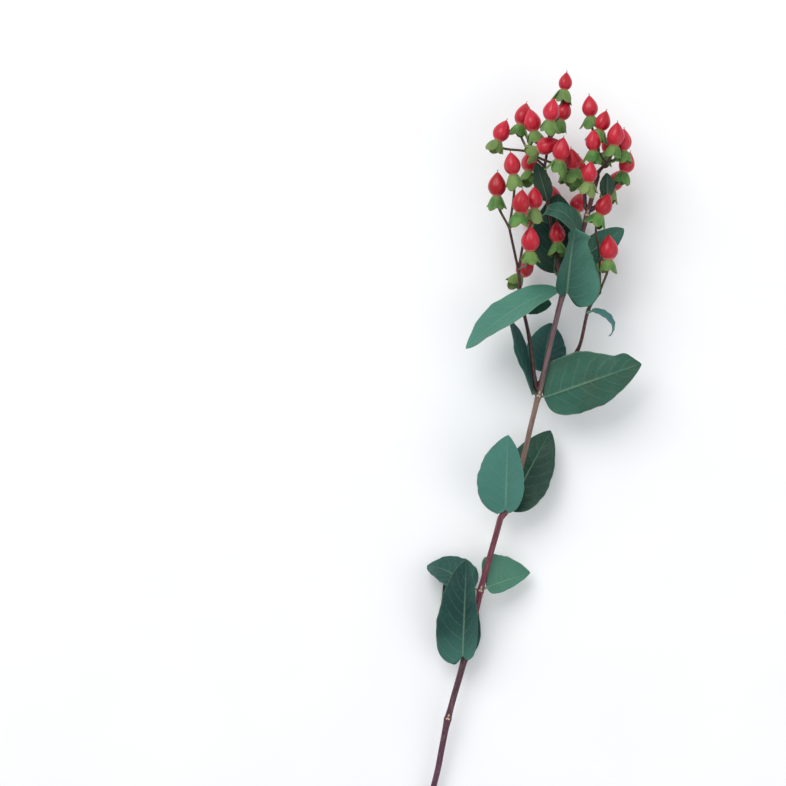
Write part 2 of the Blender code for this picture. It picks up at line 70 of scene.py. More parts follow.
EDGE_LINE_HEIGHT, EDGE_LINE_REACH = 0.14, 0.22
KNOT_HEIGHT, KNOTS_ROUND, KNOT_TWIST, KNOT_SPACING = 0.05, 3, 0.11, 0.23
PITH_HOLLOW = 0.35
SCAR_WIDTH, SCAR_HEIGHT, SCAR_DEPTH, SCAR_SINK = 1.25, 0.8, 0.38, 0.12
BUD_WIDTH, BUD_LENGTH, BUD_DEPTH, BUD_SINK = 0.62, 1.5, 0.75, 0.2
BUD_ABOVE_NODE, BUD_LEAN = 1.9, 0.4
BUMP_ROWS, BUMP_SIDES, BUMP_ROOT = 7, 16, 0.2
BARK, CUT_WOOD, CORK = 0, 1, 2
# Painted shade: the grey-brown bands among the leaves stand partly for the shade that the leaves
# cast on the stem.
BARK_BANDS_WITH_PAINTED_SHADE = ((0.0, 86, 42, 72), (0.2, 80, 44, 62), (0.31, 72, 46, 52), (0.41, 112, 46, 66),
              (0.51, 108, 50, 66), (0.55, 118, 92, 80), (0.67, 124, 102, 88),
              (0.72, 106, 82, 86), (0.86, 98, 74, 82), (1.0, 84, 44, 44))
CUT_WOOD_RINGS = ((0.0, 96, 70, 48), (0.24, 120, 88, 60), (0.3, 206, 184, 140),
                  (0.78, 214, 198, 152), (0.86, 150, 158, 96), (1.0, 96, 66, 58))
GRAIN_DETAIL, GRAIN_ROUGHNESS = 3.0, 0.55


def eased(share):
    """A share from 0 to 1 with a soft start and a soft end."""
    return share * share * (3 - 2 * share)


def stem_radius(y):
    """The stem thins towards its top, widens up each internode and swells at each node."""
    below = max([node for node in STEM_NODES if node < y], default=0.0)
    above = min([node for node in STEM_NODES if node >= y],
                default=STEM_LENGTH + UNGROWN_INTERNODE)
    radius = CUT_END_RADIUS + (TOP_RADIUS - CUT_END_RADIUS) * y / STEM_LENGTH
    radius *= INTERNODE_WAIST + INTERNODE_FLARE * ((y - below) / (above - below)) ** 2
    for node in STEM_NODES:
        radius *= 1 + NODE_SWELLING * math.exp(-((y - node) / NODE_SWELLING_REACH) ** 2)
    return radius


def stem_axis(y):
    """The centre of the stem: its sideways line as it grew, its rise from the surface."""
    for (y0, x0), (y1, x1) in zip(STEM_LINE, STEM_LINE[1:]):
        if y <= y1:
            break
    x = x0 + (x1 - x0) * eased((y - y0) / (y1 - y0))
    rest = CUT_END_RADIUS * INTERNODE_WAIST * math.cos(math.pi / SOLID_STEM_SIDES)
    rise = (HEAD_HEIGHT - rest) * (max(y, 0.0) / STEM_LENGTH) ** STEM_ARCH
    return Vector((x, y, rest + rise))


def stem_tangent(y):
    """The way that the stem grows at a height."""
    above, below = min(y + TANGENT_REACH, STEM_LENGTH), max(y - TANGENT_REACH, 0.0)
    return (stem_axis(above) - stem_axis(below)).normalized()


def way_out(side):
    """The way out of the stem at a side of it, in degrees: 0 is right and 90 is up."""
    side = math.radians(side)
    return Vector((math.cos(side), 0.0, math.sin(side)))


def off_bark(y, side, gap):
    """A point at a height and a side of the stem, a gap out of its bark."""
    return stem_axis(y) + way_out(side) * (stem_radius(y) + gap)


def wire(tree, kind, inputs, **settings):
    """A shader node with its inputs set to values or joined to other nodes' outputs."""
    made = tree.nodes.new("ShaderNode" + kind)
    for name, value in settings.items():
        setattr(made, name, value)
    for name, value in inputs.items():
        if isinstance(value, bpy.types.NodeSocket):
            tree.links.new(value, made.inputs[name])
        else:
            made.inputs[name].default_value = value
    return made


def reckoned(tree, operation, *values):
    """The result of one Math node."""
    return wire(tree, "Math", dict(enumerate(values)), operation=operation).outputs[0]


def times(tree, value, factor):
    return reckoned(tree, "MULTIPLY", value, factor)


def faded(tree, value, start, end, low=0.0, high=1.0):
    """A value that runs smoothly from low at its start to high at its end."""
    return wire(tree, "MapRange", {"Value": value, "From Min": start, "From Max": end,
                                   "To Min": low, "To Max": high},
                interpolation_type="SMOOTHSTEP").outputs[0]


def blended(tree, share, under, over):
    """One colour laid over another by a share."""
    return wire(tree, "Mix", {"Factor": share, 6: under, 7: over}, data_type="RGBA").outputs[2]


def coated(tree, colour, *coats):
    """A colour under coats: where each lies, the most that it covers there and its colour."""
    for share, most, over in coats:
        colour = blended(tree, share if most == 1 else times(tree, share, most), colour, over)
    return colour


def banded(tree, value, bands):
    """Colours that follow each other along a value, each after the place where it is pure."""
    ramp = wire(tree, "ValToRGB", {"Fac": value})
    stops = ramp.color_ramp.elements
    while len(stops) < len(bands):
        stops.new(0.5)
    for stop, (position, *colour) in zip(stops, bands):
        stop.position, stop.color = position, paint(*colour)
    return ramp.outputs[0]


def paint(red, green, blue):
    """A colour as it looks on a screen, 0 to 255, as a shader takes it."""
    screen = (value / 255 for value in (red, green, blue))
    light = [c / 12.92 if c <= 0.04045 else ((c + 0.055) / 1.055) ** 2.4 for c in screen]
    return (*light, 1.0)


def own_place(tree):
    """Where a point lies in the stem's own space, in metres."""
    return wire(tree, "TexCoord", {}).outputs["Object"]


def across_and_along(tree):
    """How far a point lies across its own part and along it, each from 0 to 1."""
    flat = wire(tree, "SeparateXYZ", {"Vector": wire(tree, "TexCoord", {}).outputs["UV"]})
    return flat.outputs["X"], flat.outputs["Y"]


def mark_of(tree, mark):
    """A value that a piece's mesh carries at its points."""
    return wire(tree, "Attribute", {}, attribute_name=mark).outputs["Fac"]


def grained(tree, across, along=None):
    """Noise by its fineness across the stem and along it, the same both ways if one is given."""
    stretch = wire(tree, "Mapping", {"Vector": own_place(tree),
                                     "Scale": (across, along or across, across)})
    return wire(tree, "TexNoise", {"Vector": stretch.outputs[0], "Scale": 1.0,
                                   "Detail": GRAIN_DETAIL,
                                   "Roughness": GRAIN_ROUGHNESS}).outputs["Fac"]


def new_finish(name, roughness, **fixed):
    """A material with its shader's plain values set, and its node tree."""
    made = bpy.data.materials.new(name)
    made.use_nodes = True
    shader = made.node_tree.nodes["Principled BSDF"]
    shader.inputs["Roughness"].default_value = roughness
    for socket, value in fixed.items():
        shader.inputs[socket.replace("_", " ")].default_value = value
    return made, made.node_tree


def finished(made, colour, relief=None, strength=0.0, depth=0.0, roughness=None):
    """A material with its colour, its relief and its roughness led to its shader."""
    tree = made.node_tree
    led = {"Base Color": colour, "Roughness": roughness}
    if relief is not None:
        led["Normal"] = wire(tree, "Bump", {"Height": relief, "Strength": strength,
                                            "Distance": depth}).outputs[0]
    for socket, value in led.items():
        if value is not None:
            tree.links.new(value, tree.nodes["Principled BSDF"].inputs[socket])
    return made


def two_toned(name, roughness, grain, start, dull, bright, **fixed):
    """A plain finish of two close tones in a mottle."""
    made, tree = new_finish(name, roughness, **fixed)
    return finished(made, blended(tree, faded(tree, grained(tree, grain), start, 0.7), dull,
                                  bright))


def bark_finish():
    """Smooth young bark: bands of colour up the stem, the grey-brown ones among the leaves partly
    painted shade, long streaks and pale pores.
    """
    made, tree = new_finish("bark_of_young_wood", 0.5, Specular_IOR_Level=0.3)
    place = own_place(tree)
    height = wire(tree, "SeparateXYZ", {"Vector": place}).outputs["Y"]
    along = wire(tree, "MapRange", {"Value": height, "From Min": -FOOTPRINT_CENTRE[1] * MM,
                                    "From Max": (STEM_LENGTH - FOOTPRINT_CENTRE[1]) * MM})
    streaks = faded(tree, grained(tree, 1500, 45), 0.42, 0.72)
    dark = faded(tree, grained(tree, 900, 22), 0.5, 0.75)
    spots = wire(tree, "Mapping", {"Vector": place, "Scale": (1100, 420, 1100)})
    spots = wire(tree, "TexVoronoi", {"Vector": spots.outputs[0], "Scale": 1.0})
    pore = faded(tree, spots.outputs["Distance"], 0.08, 0.2, 1.0, 0.0)
    fine = grained(tree, 2600, 300)
    colour = coated(tree, banded(tree, along.outputs[0], BARK_BANDS_WITH_PAINTED_SHADE),
                    (streaks, 0.25, paint(172, 138, 130)), (dark, 0.5, paint(50, 28, 34)),
                    (pore, 0.45, paint(178, 152, 134)))
    relief = reckoned(tree, "ADD", times(tree, pore, 0.5), fine)
    return finished(made, colour, relief, 0.5, 0.00015, faded(tree, fine, 0.3, 0.7, 0.4, 0.6))


def cut_wood_finish():
    """The cut end: a green rim under the bark, cream wood and a brown hollow pith."""
    made, tree = new_finish("cut_wood", 0.8)
    rays = faded(tree, grained(tree, 4000), 0.4, 0.65)
    from_pith, _ = across_and_along(tree)
    colour = coated(tree, banded(tree, from_pith, CUT_WOOD_RINGS),
                    (rays, 0.35, paint(130, 104, 74)))
    return finished(made, colour, rays, 0.4, 0.0001)


def joined(*parts):
    """Several meshes as one: each part is points, faces, finish numbers and flat places."""
    points, faces, kinds, flats, at = [], [], [], [], 0
    for part_points, part_faces, part_kinds, part_flats in parts:
        points.append(np.asarray(part_points, float))
        faces += [tuple(i + at for i in face) for face in part_faces]
        kinds += list(part_kinds)
        flats.append(np.asarray(part_flats, float))
        at += len(part_points)
    return np.vstack(points), faces, kinds, np.vstack(flats)


def mesh_piece(name, part, finishes, node, marks=None):
    """A piece from points in millimetres, riding on the stem and standing for its solid."""
    points, faces, kinds, flats = part
    mesh = bpy.data.meshes.new(name)
    mesh.from_pydata(((points - FOOTPRINT_CENTRE) * MM).tolist(), [], faces)
    for finish in finishes:
        mesh.materials.append(finish)
    mesh.polygons.foreach_set("material_index", np.array(kinds, dtype=np.int32))
    mesh.polygons.foreach_set("use_smooth", np.ones(len(faces), dtype=bool))
    corners = np.zeros(len(mesh.loops), dtype=np.int32)
    mesh.loops.foreach_get("vertex_index", corners)
    layer = mesh.uv_layers.new(name="across_and_along")
    layer.data.foreach_set("uv", flats[corners].astype(np.float32).ravel())
    for mark, values in (marks or {}).items():
        attribute = mesh.attributes.new(mark, "FLOAT", "POINT")
        attribute.data.foreach_set("value", np.asarray(values, dtype=np.float32))
    mesh.update()
    piece = bpy.data.objects.new(name, mesh)
    bpy.context.scene.collection.objects.link(piece)
    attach(piece, "root")
    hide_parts(node)


def tube_faces(rings, sides):
    """Faces between rings of points, with a fan at each end to the two points after them."""
    faces, first, top = [], rings * sides, (rings - 1) * sides
    for a in range(top):
        b = a - a % sides + (a + 1) % sides
        faces.append((a, a + sides, b + sides, b))
    for k in range(sides):
        following = (k + 1) % sides
        faces += [(first, k, following), (first + 1, top + following, top + k)]
    return faces


def limb(centres, radii, sides, kind=0, ridge=None):
    """A round limb along a line of centres, with a flat fan at each end."""
    count = len(centres)
    rings = []
    across = Vector((1.0, 0.0, 0.0))
    turns = 2 * np.pi * np.arange(sides) / sides
    for i, centre in enumerate(centres):
        ahead = (centres[min(i + 1, count - 1)] - centres[max(i - 1, 0)]).normalized()
        across = (across - ahead * across.dot(ahead)).normalized()
        up = across.cross(ahead)
        reach = radii[i] + (ridge(i, turns) if ridge else 0.0)
        rings.append(np.array(centre) + np.outer(np.cos(turns) * reach, across)
                     + np.outer(np.sin(turns) * reach, up))
    points = np.vstack(rings + [[centres[0]], [centres[-1]]])
    faces = tube_faces(count, sides)
    flats = np.zeros((len(points), 2))
    flats[:-2, 0] = np.tile(np.arange(sides) / sides, count)
    flats[:-2, 1] = np.repeat(np.arange(count) / (count - 1), sides)
    flats[-1] = (0.5, 1.0)
    return points, faces, [kind] * len(faces), flats


def dome(centre, out, along, wide, high, deep):
    """A low corky bump on the bark: its way out and its way along, and its half sizes."""
    across = along.cross(out)
    points = []
    for i in range(BUMP_ROWS):
        lean = 0.5 * math.pi * i / BUMP_ROWS
        for k in range(BUMP_SIDES):
            turn = 2 * math.pi * k / BUMP_SIDES
            points.append(centre + across * (math.cos(lean) * math.cos(turn) * wide)
                          + along * (math.cos(lean) * math.sin(turn) * high)
                          + out * (math.sin(lean) * deep))
    points += [centre - out * BUMP_ROOT, centre + out * deep]
    faces = [face[::-1] for face in tube_faces(BUMP_ROWS, BUMP_SIDES)]
    return np.array(points), faces, [CORK] * len(faces), np.zeros((len(points), 2))


def woody_stem():
    """The stem, its node rings and raised edge lines, its cut end, scars and buds."""
    count = int(STEM_LENGTH / STEM_STEP) + 1
    heights = [STEM_LENGTH * i / (count - 1) for i in range(count)]

    def ridge(i, turns):
        y = heights[i]
        ring = sum(math.exp(-((y - node) / NODE_RING_REACH) ** 2) for node in STEM_NODES)
        internode = sum(node < y for node in STEM_NODES)
        lines = np.exp(-(np.sin(turns + 0.5 * math.pi * internode) / EDGE_LINE_REACH) ** 2)
        knots = np.sin(KNOTS_ROUND * turns + KNOT_TWIST * y) * math.sin(KNOT_SPACING * y)
        return NODE_RING_HEIGHT * ring + EDGE_LINE_HEIGHT * lines + KNOT_HEIGHT * knots

    sides, cut_middle = STEM_SIDES, count * STEM_SIDES
    points, faces, _, flats = limb([stem_axis(y) for y in heights],
                                   [stem_radius(y) for y in heights], sides, ridge=ridge)
    points[:, 2] = np.maximum(points[:, 2], 0.0)
    faces = [face for face in faces if cut_middle not in face]
    end_points = np.vstack([points[:sides], [points[cut_middle]]])
    end_points[-1, 1] += PITH_HOLLOW
    end_flats = np.vstack([np.tile((1.0, 0.0), (sides, 1)), [[0.0, 0.0]]])
    end_faces = [(sides, k, (k + 1) % sides) for k in range(sides)]
    bumps = []
    for number, node in enumerate(STEM_NODES):
        along, quarter = stem_tangent(node), 90.0 * (number % 2)
        for side in (quarter, quarter + 180.0):
            out = way_out(side)
            bumps.append(dome(off_bark(node, side, -SCAR_SINK), out, along,
                              SCAR_WIDTH, SCAR_HEIGHT, SCAR_DEPTH))
            bumps.append(dome(off_bark(node + BUD_ABOVE_NODE, side, -BUD_SINK), out,
                              (along + out * BUD_LEAN).normalized(),
                              BUD_WIDTH, BUD_LENGTH, BUD_DEPTH))
    return joined((points, faces, [BARK] * len(faces), flats),
                  (end_points, end_faces, [CUT_WOOD] * sides, end_flats), *bumps)


scar_cork = two_toned("leaf_scar_cork", 0.7, 1800, 0.35, paint(168, 134, 112),
                      paint(216, 196, 172))
mesh_piece("woody_stem", woody_stem(), [bark_finish(), cut_wood_finish(), scar_cork],
           "main_stem")


# The leaves: thin, leathery oval blades without stalks, in opposite pairs that clasp the stem.
# They are blue-green, satin above and a little duller below, with a midrib raised below, six or
# seven pairs of curved side veins, a fine net between them and a thin pale margin.

BLADE_THICKNESS, LEAST_THICKNESS = 0.34, 0.05
SOLID_BLADE_THICKNESS = 0.7
BLADE_ROOT_HALF_WIDTH, BLADE_TIP_HALF_WIDTH = 1.6, 0.35
BLADE_FOOT, BLADE_POINT = 0.45, 0.75
MIDRIB_STEPS, EVEN_BEND = 144, 0.35
FOLD_RUN, TIP_RUN = 0.45, 0.2
STEM_CLEARANCE = 1.2
BLADE_ROWS, BLADE_HALF_COLUMNS = 88, 20
ROW_CROWDING, COLUMN_CROWDING = 0.35, 1.35
CUPPING = 1.3
RIB_HEIGHT, RIB_REACH, RIB_THINNING = 0.75, 0.62, 0.55
GROOVE_DEPTH, GROOVE_REACH = 0.16, 0.5
SIDE_VEINS, VEIN_SWEEP, VEIN_CURVE = 8.0, 0.24, 1.4
NET_FINENESS, NET_BEND = 520.0, 0.0011
QUILTING = 0.16
RUFFLE, RUFFLES, FINE_RUFFLES = 0.014, 3.7, 8.3
WAVES, WAVE_SHIFT = 1.5, 1.3
CRINKLE, CRINKLES = 0.2, 5.3
FLOOR_EASE = 1.6
FOOT_RADIUS, FOOT_STEPS, FOOT_SIDES = 0.8, 8, 10
UNDER_SKIN = 1
LEAF_RELIEF = 0.0003
LEAF_BLOOM, LEAF_BROWNING = (52, 104, 118), (96, 88, 60)


def way_of(heading, rise):
    """The way that lies at a heading from the stem and a rise from level, in degrees."""
    heading, rise = math.radians(heading), math.radians(rise)
    return Vector((math.sin(heading) * math.cos(rise), math.cos(heading) * math.cos(rise),
                   math.sin(rise)))


def midrib(base, heading, rise, roll, length, bend, early):
    """Places along a leaf's midrib, with the ways ahead and out of its upper side there."""
    place, ahead, upper = Vector(base), way_of(heading, rise), Vector((0.0, 0.0, 1.0))
    upper = (upper - ahead * upper.dot(ahead)).normalized()
    upper.rotate(Matrix.Rotation(math.radians(roll), 3, ahead))
    stops = [(place.copy(), ahead.copy(), upper.copy())]
    for i in range(MIDRIB_STEPS):
        t = (i + 0.5) / MIDRIB_STEPS
        bent = EVEN_BEND + 2 * (1 - EVEN_BEND) * (1 - t if early else t)
        turn = Matrix.Rotation(-math.radians(bend) * bent / MIDRIB_STEPS, 3, ahead.cross(upper))
        ahead.rotate(turn)
        upper.rotate(turn)
        place = place + ahead * (length / MIDRIB_STEPS)
        stops.append((place.copy(), ahead.copy(), upper.copy()))
    return (np.array(values) for values in zip(*stops))


def half_width(t, width, foot):
    """An oval leaf with a broad clasping foot and a blunt point, the widest at its peak."""
    peak = foot / (foot + BLADE_POINT)
    most = peak ** foot * (1 - peak) ** BLADE_POINT
    oval = np.where((t > 0) & (t < 1), np.abs(t) ** foot * np.abs(1 - t) ** BLADE_POINT / most, 0)
    least = BLADE_ROOT_HALF_WIDTH * (1 - t) + BLADE_TIP_HALF_WIDTH * t
    return np.maximum(width / 2 * oval, least * np.minimum(1.0, (1 - t) / 0.02 + 0.3))


STEM_HEIGHTS = np.arange(0.0, STEM_LENGTH + 1.0)
STEM_PLACES = np.array([stem_axis(y) for y in STEM_HEIGHTS])
STEM_REACHES = np.array([stem_radius(y) for y in STEM_HEIGHTS]) + STEM_CLEARANCE


def clear_of_stem(points):
    """Points of a blade, moved out where they would come too close to the stem."""
    y = np.clip(points[..., 1], 0.0, STEM_LENGTH)
    axis = np.stack([np.interp(y, STEM_HEIGHTS, STEM_PLACES[:, k]) for k in (0, 2)], axis=-1)
    off = points[..., (0, 2)] - axis
    length = np.linalg.norm(off, axis=-1)
    least = np.interp(y, STEM_HEIGHTS, STEM_REACHES)
    near = (length > 0.01) & (length < least) & (np.abs(points[..., 1] - y) < 1.0)
    pushed = axis + off / np.maximum(length, 0.01)[..., None] * least[..., None]
    moved = points.copy()
    moved[..., (0, 2)] = np.where(near[..., None], pushed, points[..., (0, 2)])
    return moved


def margin(edge, t):
    """How far a margin stands out from the oval or in, eased between the places given."""
    places = ((0.0, 1.0),) + edge + ((1.0, 1.0),)
    out = np.ones_like(t)
    for (t0, out0), (t1, out1) in zip(places, places[1:]):
        share = eased(np.clip((t - t0) / (t1 - t0), 0.0, 1.0))
        out = np.where(t >= t0, out0 + (out1 - out0) * share, out)
    return out


def square_to(sheet):
    """The way out of a sheet at each of its points, which lie in rows."""
    normal = np.cross(np.gradient(sheet, axis=1), np.gradient(sheet, axis=0))
    return normal / np.maximum(np.linalg.norm(normal, axis=-1, keepdims=True), 1e-9)


def closed_sheet(over, under, across, along, under_kind=0):
    """A thin body from its upper and lower points, in rows, sewn together round its margin."""
    long, wide = over.shape[:2]
    count = long * wide
    corner = (np.arange(long - 1)[:, None] * wide + np.arange(wide - 1)[None, :]).ravel()
    top = np.stack([corner, corner + 1, corner + wide + 1, corner + wide], axis=1)
    bottom = top[:, ::-1] + count
    rim = list(range(wide)) + [i * wide + wide - 1 for i in range(1, long)]
    rim += [(long - 1) * wide + k for k in range(wide - 2, -1, -1)]
    rim += [i * wide for i in range(long - 2, 0, -1)]
    edge = [(q, p, p + count, q + count) for p, q in zip(rim, rim[1:] + rim[:1])]
    faces = [tuple(face) for face in top.tolist() + bottom.tolist()] + edge
    kinds = [0] * len(top) + [under_kind] * len(bottom) + [0] * len(edge)
    flat = np.stack(np.broadcast_arrays(0.5 + 0.5 * across[None, :], along[:, None]), axis=-1)
    points = np.vstack([over.reshape(-1, 3), under.reshape(-1, 3)])
    return points, faces, kinds, np.vstack([flat.reshape(-1, 2)] * 2)


def blade(base, heading, rise, roll, length, width, bend=0.0, fold=8.0, tip_fold=None,
          foot=BLADE_FOOT, lobe=0.0, halves=(1.0, 1.0), edges=((), ()), wave=0.0, early=False,
          beside_stem=True, rows=BLADE_ROWS, half_columns=BLADE_HALF_COLUMNS):
    """A leaf as a closed sheet: a quilted blade between its veins, its rib and its groove."""
    even = np.arange(rows + 1) / rows
    t = ROW_CROWDING * (0.5 - 0.5 * np.cos(np.pi * even)) + (1 - ROW_CROWDING) * even
    along = t[:, None]
    steps = np.arange(MIDRIB_STEPS + 1)
    place, ahead, upper = (
        np.stack([np.interp(t * MIDRIB_STEPS, steps, values[:, k]) for k in range(3)], axis=-1)
        for values in midrib(base, heading, rise, roll, length, bend, early))
    across = np.cross(ahead, upper)
    column = np.arange(-half_columns, half_columns + 1) / half_columns
    v = np.sign(column) * np.abs(column) ** COLUMN_CROWDING
    off, right, inner = np.abs(v), v > 0, np.sin(np.pi * along) ** 0.5

    # The outline: an oval, its foot's lobe, its uneven halves, its margins and their ruffle.
    widest = np.maximum(half_width(t, width, foot), 0.8 * lobe * (1 - t) ** 2)
    share = np.where(right, halves[1], halves[0])
    left_out, right_out = (margin(edge, t)[:, None] for edge in edges)
    ruffle = (np.sin(2 * np.pi * (RUFFLES * along + 0.37 * right + 0.1 * length))
              + 0.6 * np.sin(2 * np.pi * (FINE_RUFFLES * along + 0.61 * right)))
    reach = widest[:, None] * share * np.where(right, right_out, left_out)
    reach = np.maximum(reach * (1 + RUFFLE * ruffle * inner), BLADE_TIP_HALF_WIDTH * 0.6)

    # The relief: folded on the midrib, waved, quilted between the veins, crinkled at its edge.
    tip_fold = fold if tip_fold is None else tip_fold
    lift = np.radians(fold + (tip_fold - fold) * np.minimum(along / FOLD_RUN, 1.0))
    lift = lift * np.minimum((1 - along) / TIP_RUN, 1.0)
    swing = np.sin(2 * np.pi * WAVES * along + WAVE_SHIFT * right) * np.sin(np.pi * along)
    phase = SIDE_VEINS * (along - VEIN_SWEEP * off ** VEIN_CURVE) + 0.5 * right
    puff = np.abs(np.sin(np.pi * phase)) ** 0.7 * np.sin(np.pi * off) ** 0.6
    crinkle = np.sin(2 * np.pi * (CRINKLES * along + 0.21 * np.sign(v))) * off ** 3
    raised = (reach * off ** CUPPING * np.sin(lift) + wave * swing * v ** 2
              + (QUILTING * puff + CRINKLE * crinkle) * inner)
    back = lobe * share * np.sin(0.5 * np.pi * off) * (1 - along) ** 5
    middle = (place[:, None] + across[:, None] * (reach * v * np.cos(lift))[..., None]
              + upper[:, None] * raised[..., None] - ahead[:, None] * back[..., None])
    if beside_stem:
        middle = clear_of_stem(middle)
    above = middle[..., 2] - SOLID_BLADE_THICKNESS / 2
    middle[..., 2] = SOLID_BLADE_THICKNESS / 2 + (above + np.hypot(above, FLOOR_EASE)) / 2

    # The two faces: a groove above, a rib below, and nothing under the surface it lies on.
    taper = np.minimum(1.0, (1 - along) / 0.25) * (1 - RIB_THINNING * along)
    rib = RIB_HEIGHT * taper * np.exp(-(reach * off / RIB_REACH) ** 2)
    groove = GROOVE_DEPTH * taper * np.exp(-(reach * off / GROOVE_REACH) ** 2)
    normal = square_to(middle)
    over = middle + normal * (BLADE_THICKNESS / 2 - groove)[..., None]
    under = middle - normal * (BLADE_THICKNESS / 2 + rib)[..., None]
    under[..., 2] = np.maximum(under[..., 2], 0.0)
    over[..., 2] = np.maximum(over[..., 2], under[..., 2] + LEAST_THICKNESS)
    return closed_sheet(over, under, v, t, UNDER_SKIN)


def leaf_foot(start, base, ahead):
    """The short thick foot that carries a blade from the wood to where it widens."""
    start, base = Vector(start), Vector(base)
    bow, end = start + (base - start) * 0.7, base + Vector(ahead) * 2.5
    steps = [i / FOOT_STEPS for i in range(FOOT_STEPS + 1)]
    thick = FOOT_RADIUS * min(1.0, 0.6 + 0.1 * max((base - start).length, 1.0))
    points, faces, kinds, flats = limb(
        [start * (1 - u) ** 2 + bow * (2 * u * (1 - u)) + end * u * u for u in steps],
        [thick * (1.25 - 0.75 * u) for u in steps], FOOT_SIDES, UNDER_SKIN)
    flats[:] = (0.5, 0.06)
    return points, faces, kinds, flats


def off_midline(tree, across):
    """How far a point lies from its blade's midline, from 0 there to 1 at the margin."""
    return reckoned(tree, "ABSOLUTE", reckoned(tree, "MULTIPLY_ADD", across, 2.0, -1.0))


def veins(tree, across, along):
    """The midrib, side veins, net and margin of a leaf, each as a share from 0 to 1."""
    off = off_midline(tree, across)
    half = times(tree, reckoned(tree, "GREATER_THAN", across, 0.5), 0.5)
    rib = times(tree, faded(tree, off, 0.01, 0.05, 1.0, 0.0),
                faded(tree, along, 0.3, 1.0, 1.0, 0.35))
    wander = times(tree, grained(tree, 90), 0.35)
    sweep = times(tree, reckoned(tree, "POWER", off, VEIN_CURVE), -VEIN_SWEEP * SIDE_VEINS)
    phase = reckoned(tree, "MULTIPLY_ADD", along, SIDE_VEINS, sweep)
    phase = reckoned(tree, "ADD", reckoned(tree, "ADD", phase, half), wander)
    side = faded(tree, reckoned(tree, "PINGPONG", phase, 0.5), 0.015, 0.085, 1.0, 0.0)
    side = times(tree, side, faded(tree, off, 0.55, 0.97, 1.0, 0.0))
    place = own_place(tree)
    drift = wire(tree, "TexNoise", {"Vector": place, "Scale": 1.4 * NET_FINENESS, "Detail": 2.0})
    bent = wire(tree, "VectorMath", {0: drift.outputs["Color"], 1: (NET_BEND,) * 3, 2: place},
                operation="MULTIPLY_ADD")
    cells = wire(tree, "TexVoronoi", {"Vector": bent.outputs[0], "Scale": NET_FINENESS},
                 feature="DISTANCE_TO_EDGE")
    net = faded(tree, cells.outputs["Distance"], 0.0, 0.13, 1.0, 0.0)
    return rib, side, net, faded(tree, off, 0.945, 0.99)


def leaf_finish(name, deep, light, vein, edge_colour, roughness, raised, strength):
    """A leaf's skin: a tone between deep and light by its share, which is partly painted light
    and shade, mottled, veined and edged.
    """
    made, tree = new_finish(name, roughness, Specular_IOR_Level=0.22)
    rib, side, net, edge = veins(tree, *across_and_along(tree))
    # Painted light and shade: how light each leaf is, is set leaf by leaf and is partly its own
    # tone, partly how brightly it is lit.
    share, bloom, brown = (mark_of(tree, mark) for mark in ("lightness_and_painted_light", "bloom", "russet"))
    cloud = faded(tree, grained(tree, 34), 0.3, 0.7, -0.07, 0.1)
    speck = faded(tree, grained(tree, 700), 0.35, 0.75, -0.02, 0.03)
    tone = reckoned(tree, "ADD", reckoned(tree, "ADD", share, cloud), speck)
    stain = times(tree, brown, faded(tree, grained(tree, 48), 0.4, 0.7))
    colour = coated(tree, blended(tree, tone, deep, light), (bloom, 1, paint(*LEAF_BLOOM)),
                    (stain, 1, paint(*LEAF_BROWNING)), (net, 0.035, vein), (side, 0.09, vein),
                    (rib, 0.34, vein), (edge, 0.3, edge_colour))
    fine = grained(tree, 1300)
    height = reckoned(tree, "MULTIPLY_ADD", net, 0.22, times(tree, side, 0.8))
    height = times(tree, reckoned(tree, "ADD", height, rib), raised)
    height = reckoned(tree, "MULTIPLY_ADD", fine, 0.35, height)
    return finished(made, colour, height, strength, LEAF_RELIEF,
                    faded(tree, fine, 0.3, 0.7, roughness - 0.06, roughness + 0.08))


def leaf_base(y, side, gap=0.0):
    """Where a leaf leaves the stem: its height along it, its side and its own gap."""
    return off_bark(y, side, STEM_CLEARANCE + gap)


def toned(part, lightness_and_painted_light, bloom=0.0, russet=0.0, painted_half_light=(0.0, 0.0), foot=0.0):
    """The marks that give a blade its tone: how light it is, partly its own tone and partly
    painted light and shade, its blue bloom, its browning.

    A pair paints light on its two halves, lighter towards their margins, and the last value
    lightens its foot.
    """
    v = 2 * part[3][:, 0] - 1
    # Painted light: one half of a leaf is made lighter towards its margin, where the light falls
    # more brightly on that sloping half; the foot value makes the foot lighter.
    painted_margin_light_and_pale_foot = np.where(v > 0, painted_half_light[1], painted_half_light[0]) * np.abs(v) ** 1.5
    painted_margin_light_and_pale_foot = painted_margin_light_and_pale_foot + foot * np.clip(1 - part[3][:, 1] / 0.3, 0.0, 1.0) ** 1.5
    tone = {"lightness_and_painted_light": lightness_and_painted_light + painted_margin_light_and_pale_foot, "bloom": bloom, "russet": russet}
    return {mark: np.full(len(part[0]), 0.0) + value for mark, value in tone.items()}


def leaf_piece(name, start, base, heading, rise, tone, **shape):
    """One leaf with its foot on the wood, in its tone, which is partly painted light and shade.
    """
    part = joined(blade(base, heading, rise, **shape),
                  leaf_foot(start, base, way_of(heading, rise)))
    mesh_piece(name + "_blade", part, [leaf_top, leaf_under], name, toned(part, *tone))


leaf_top = leaf_finish("leaf_upper_skin", paint(12, 54, 44), paint(84, 144, 122),
                       paint(134, 176, 136), paint(134, 160, 130), 0.46, -1.0, 0.35)
leaf_under = leaf_finish("leaf_under_skin", paint(14, 55, 47), paint(86, 146, 126),
                         paint(140, 174, 138), paint(138, 152, 122), 0.55, 1.0, 0.4)
n1, n2, n3, n4, n5, n6 = LEAF_NODES
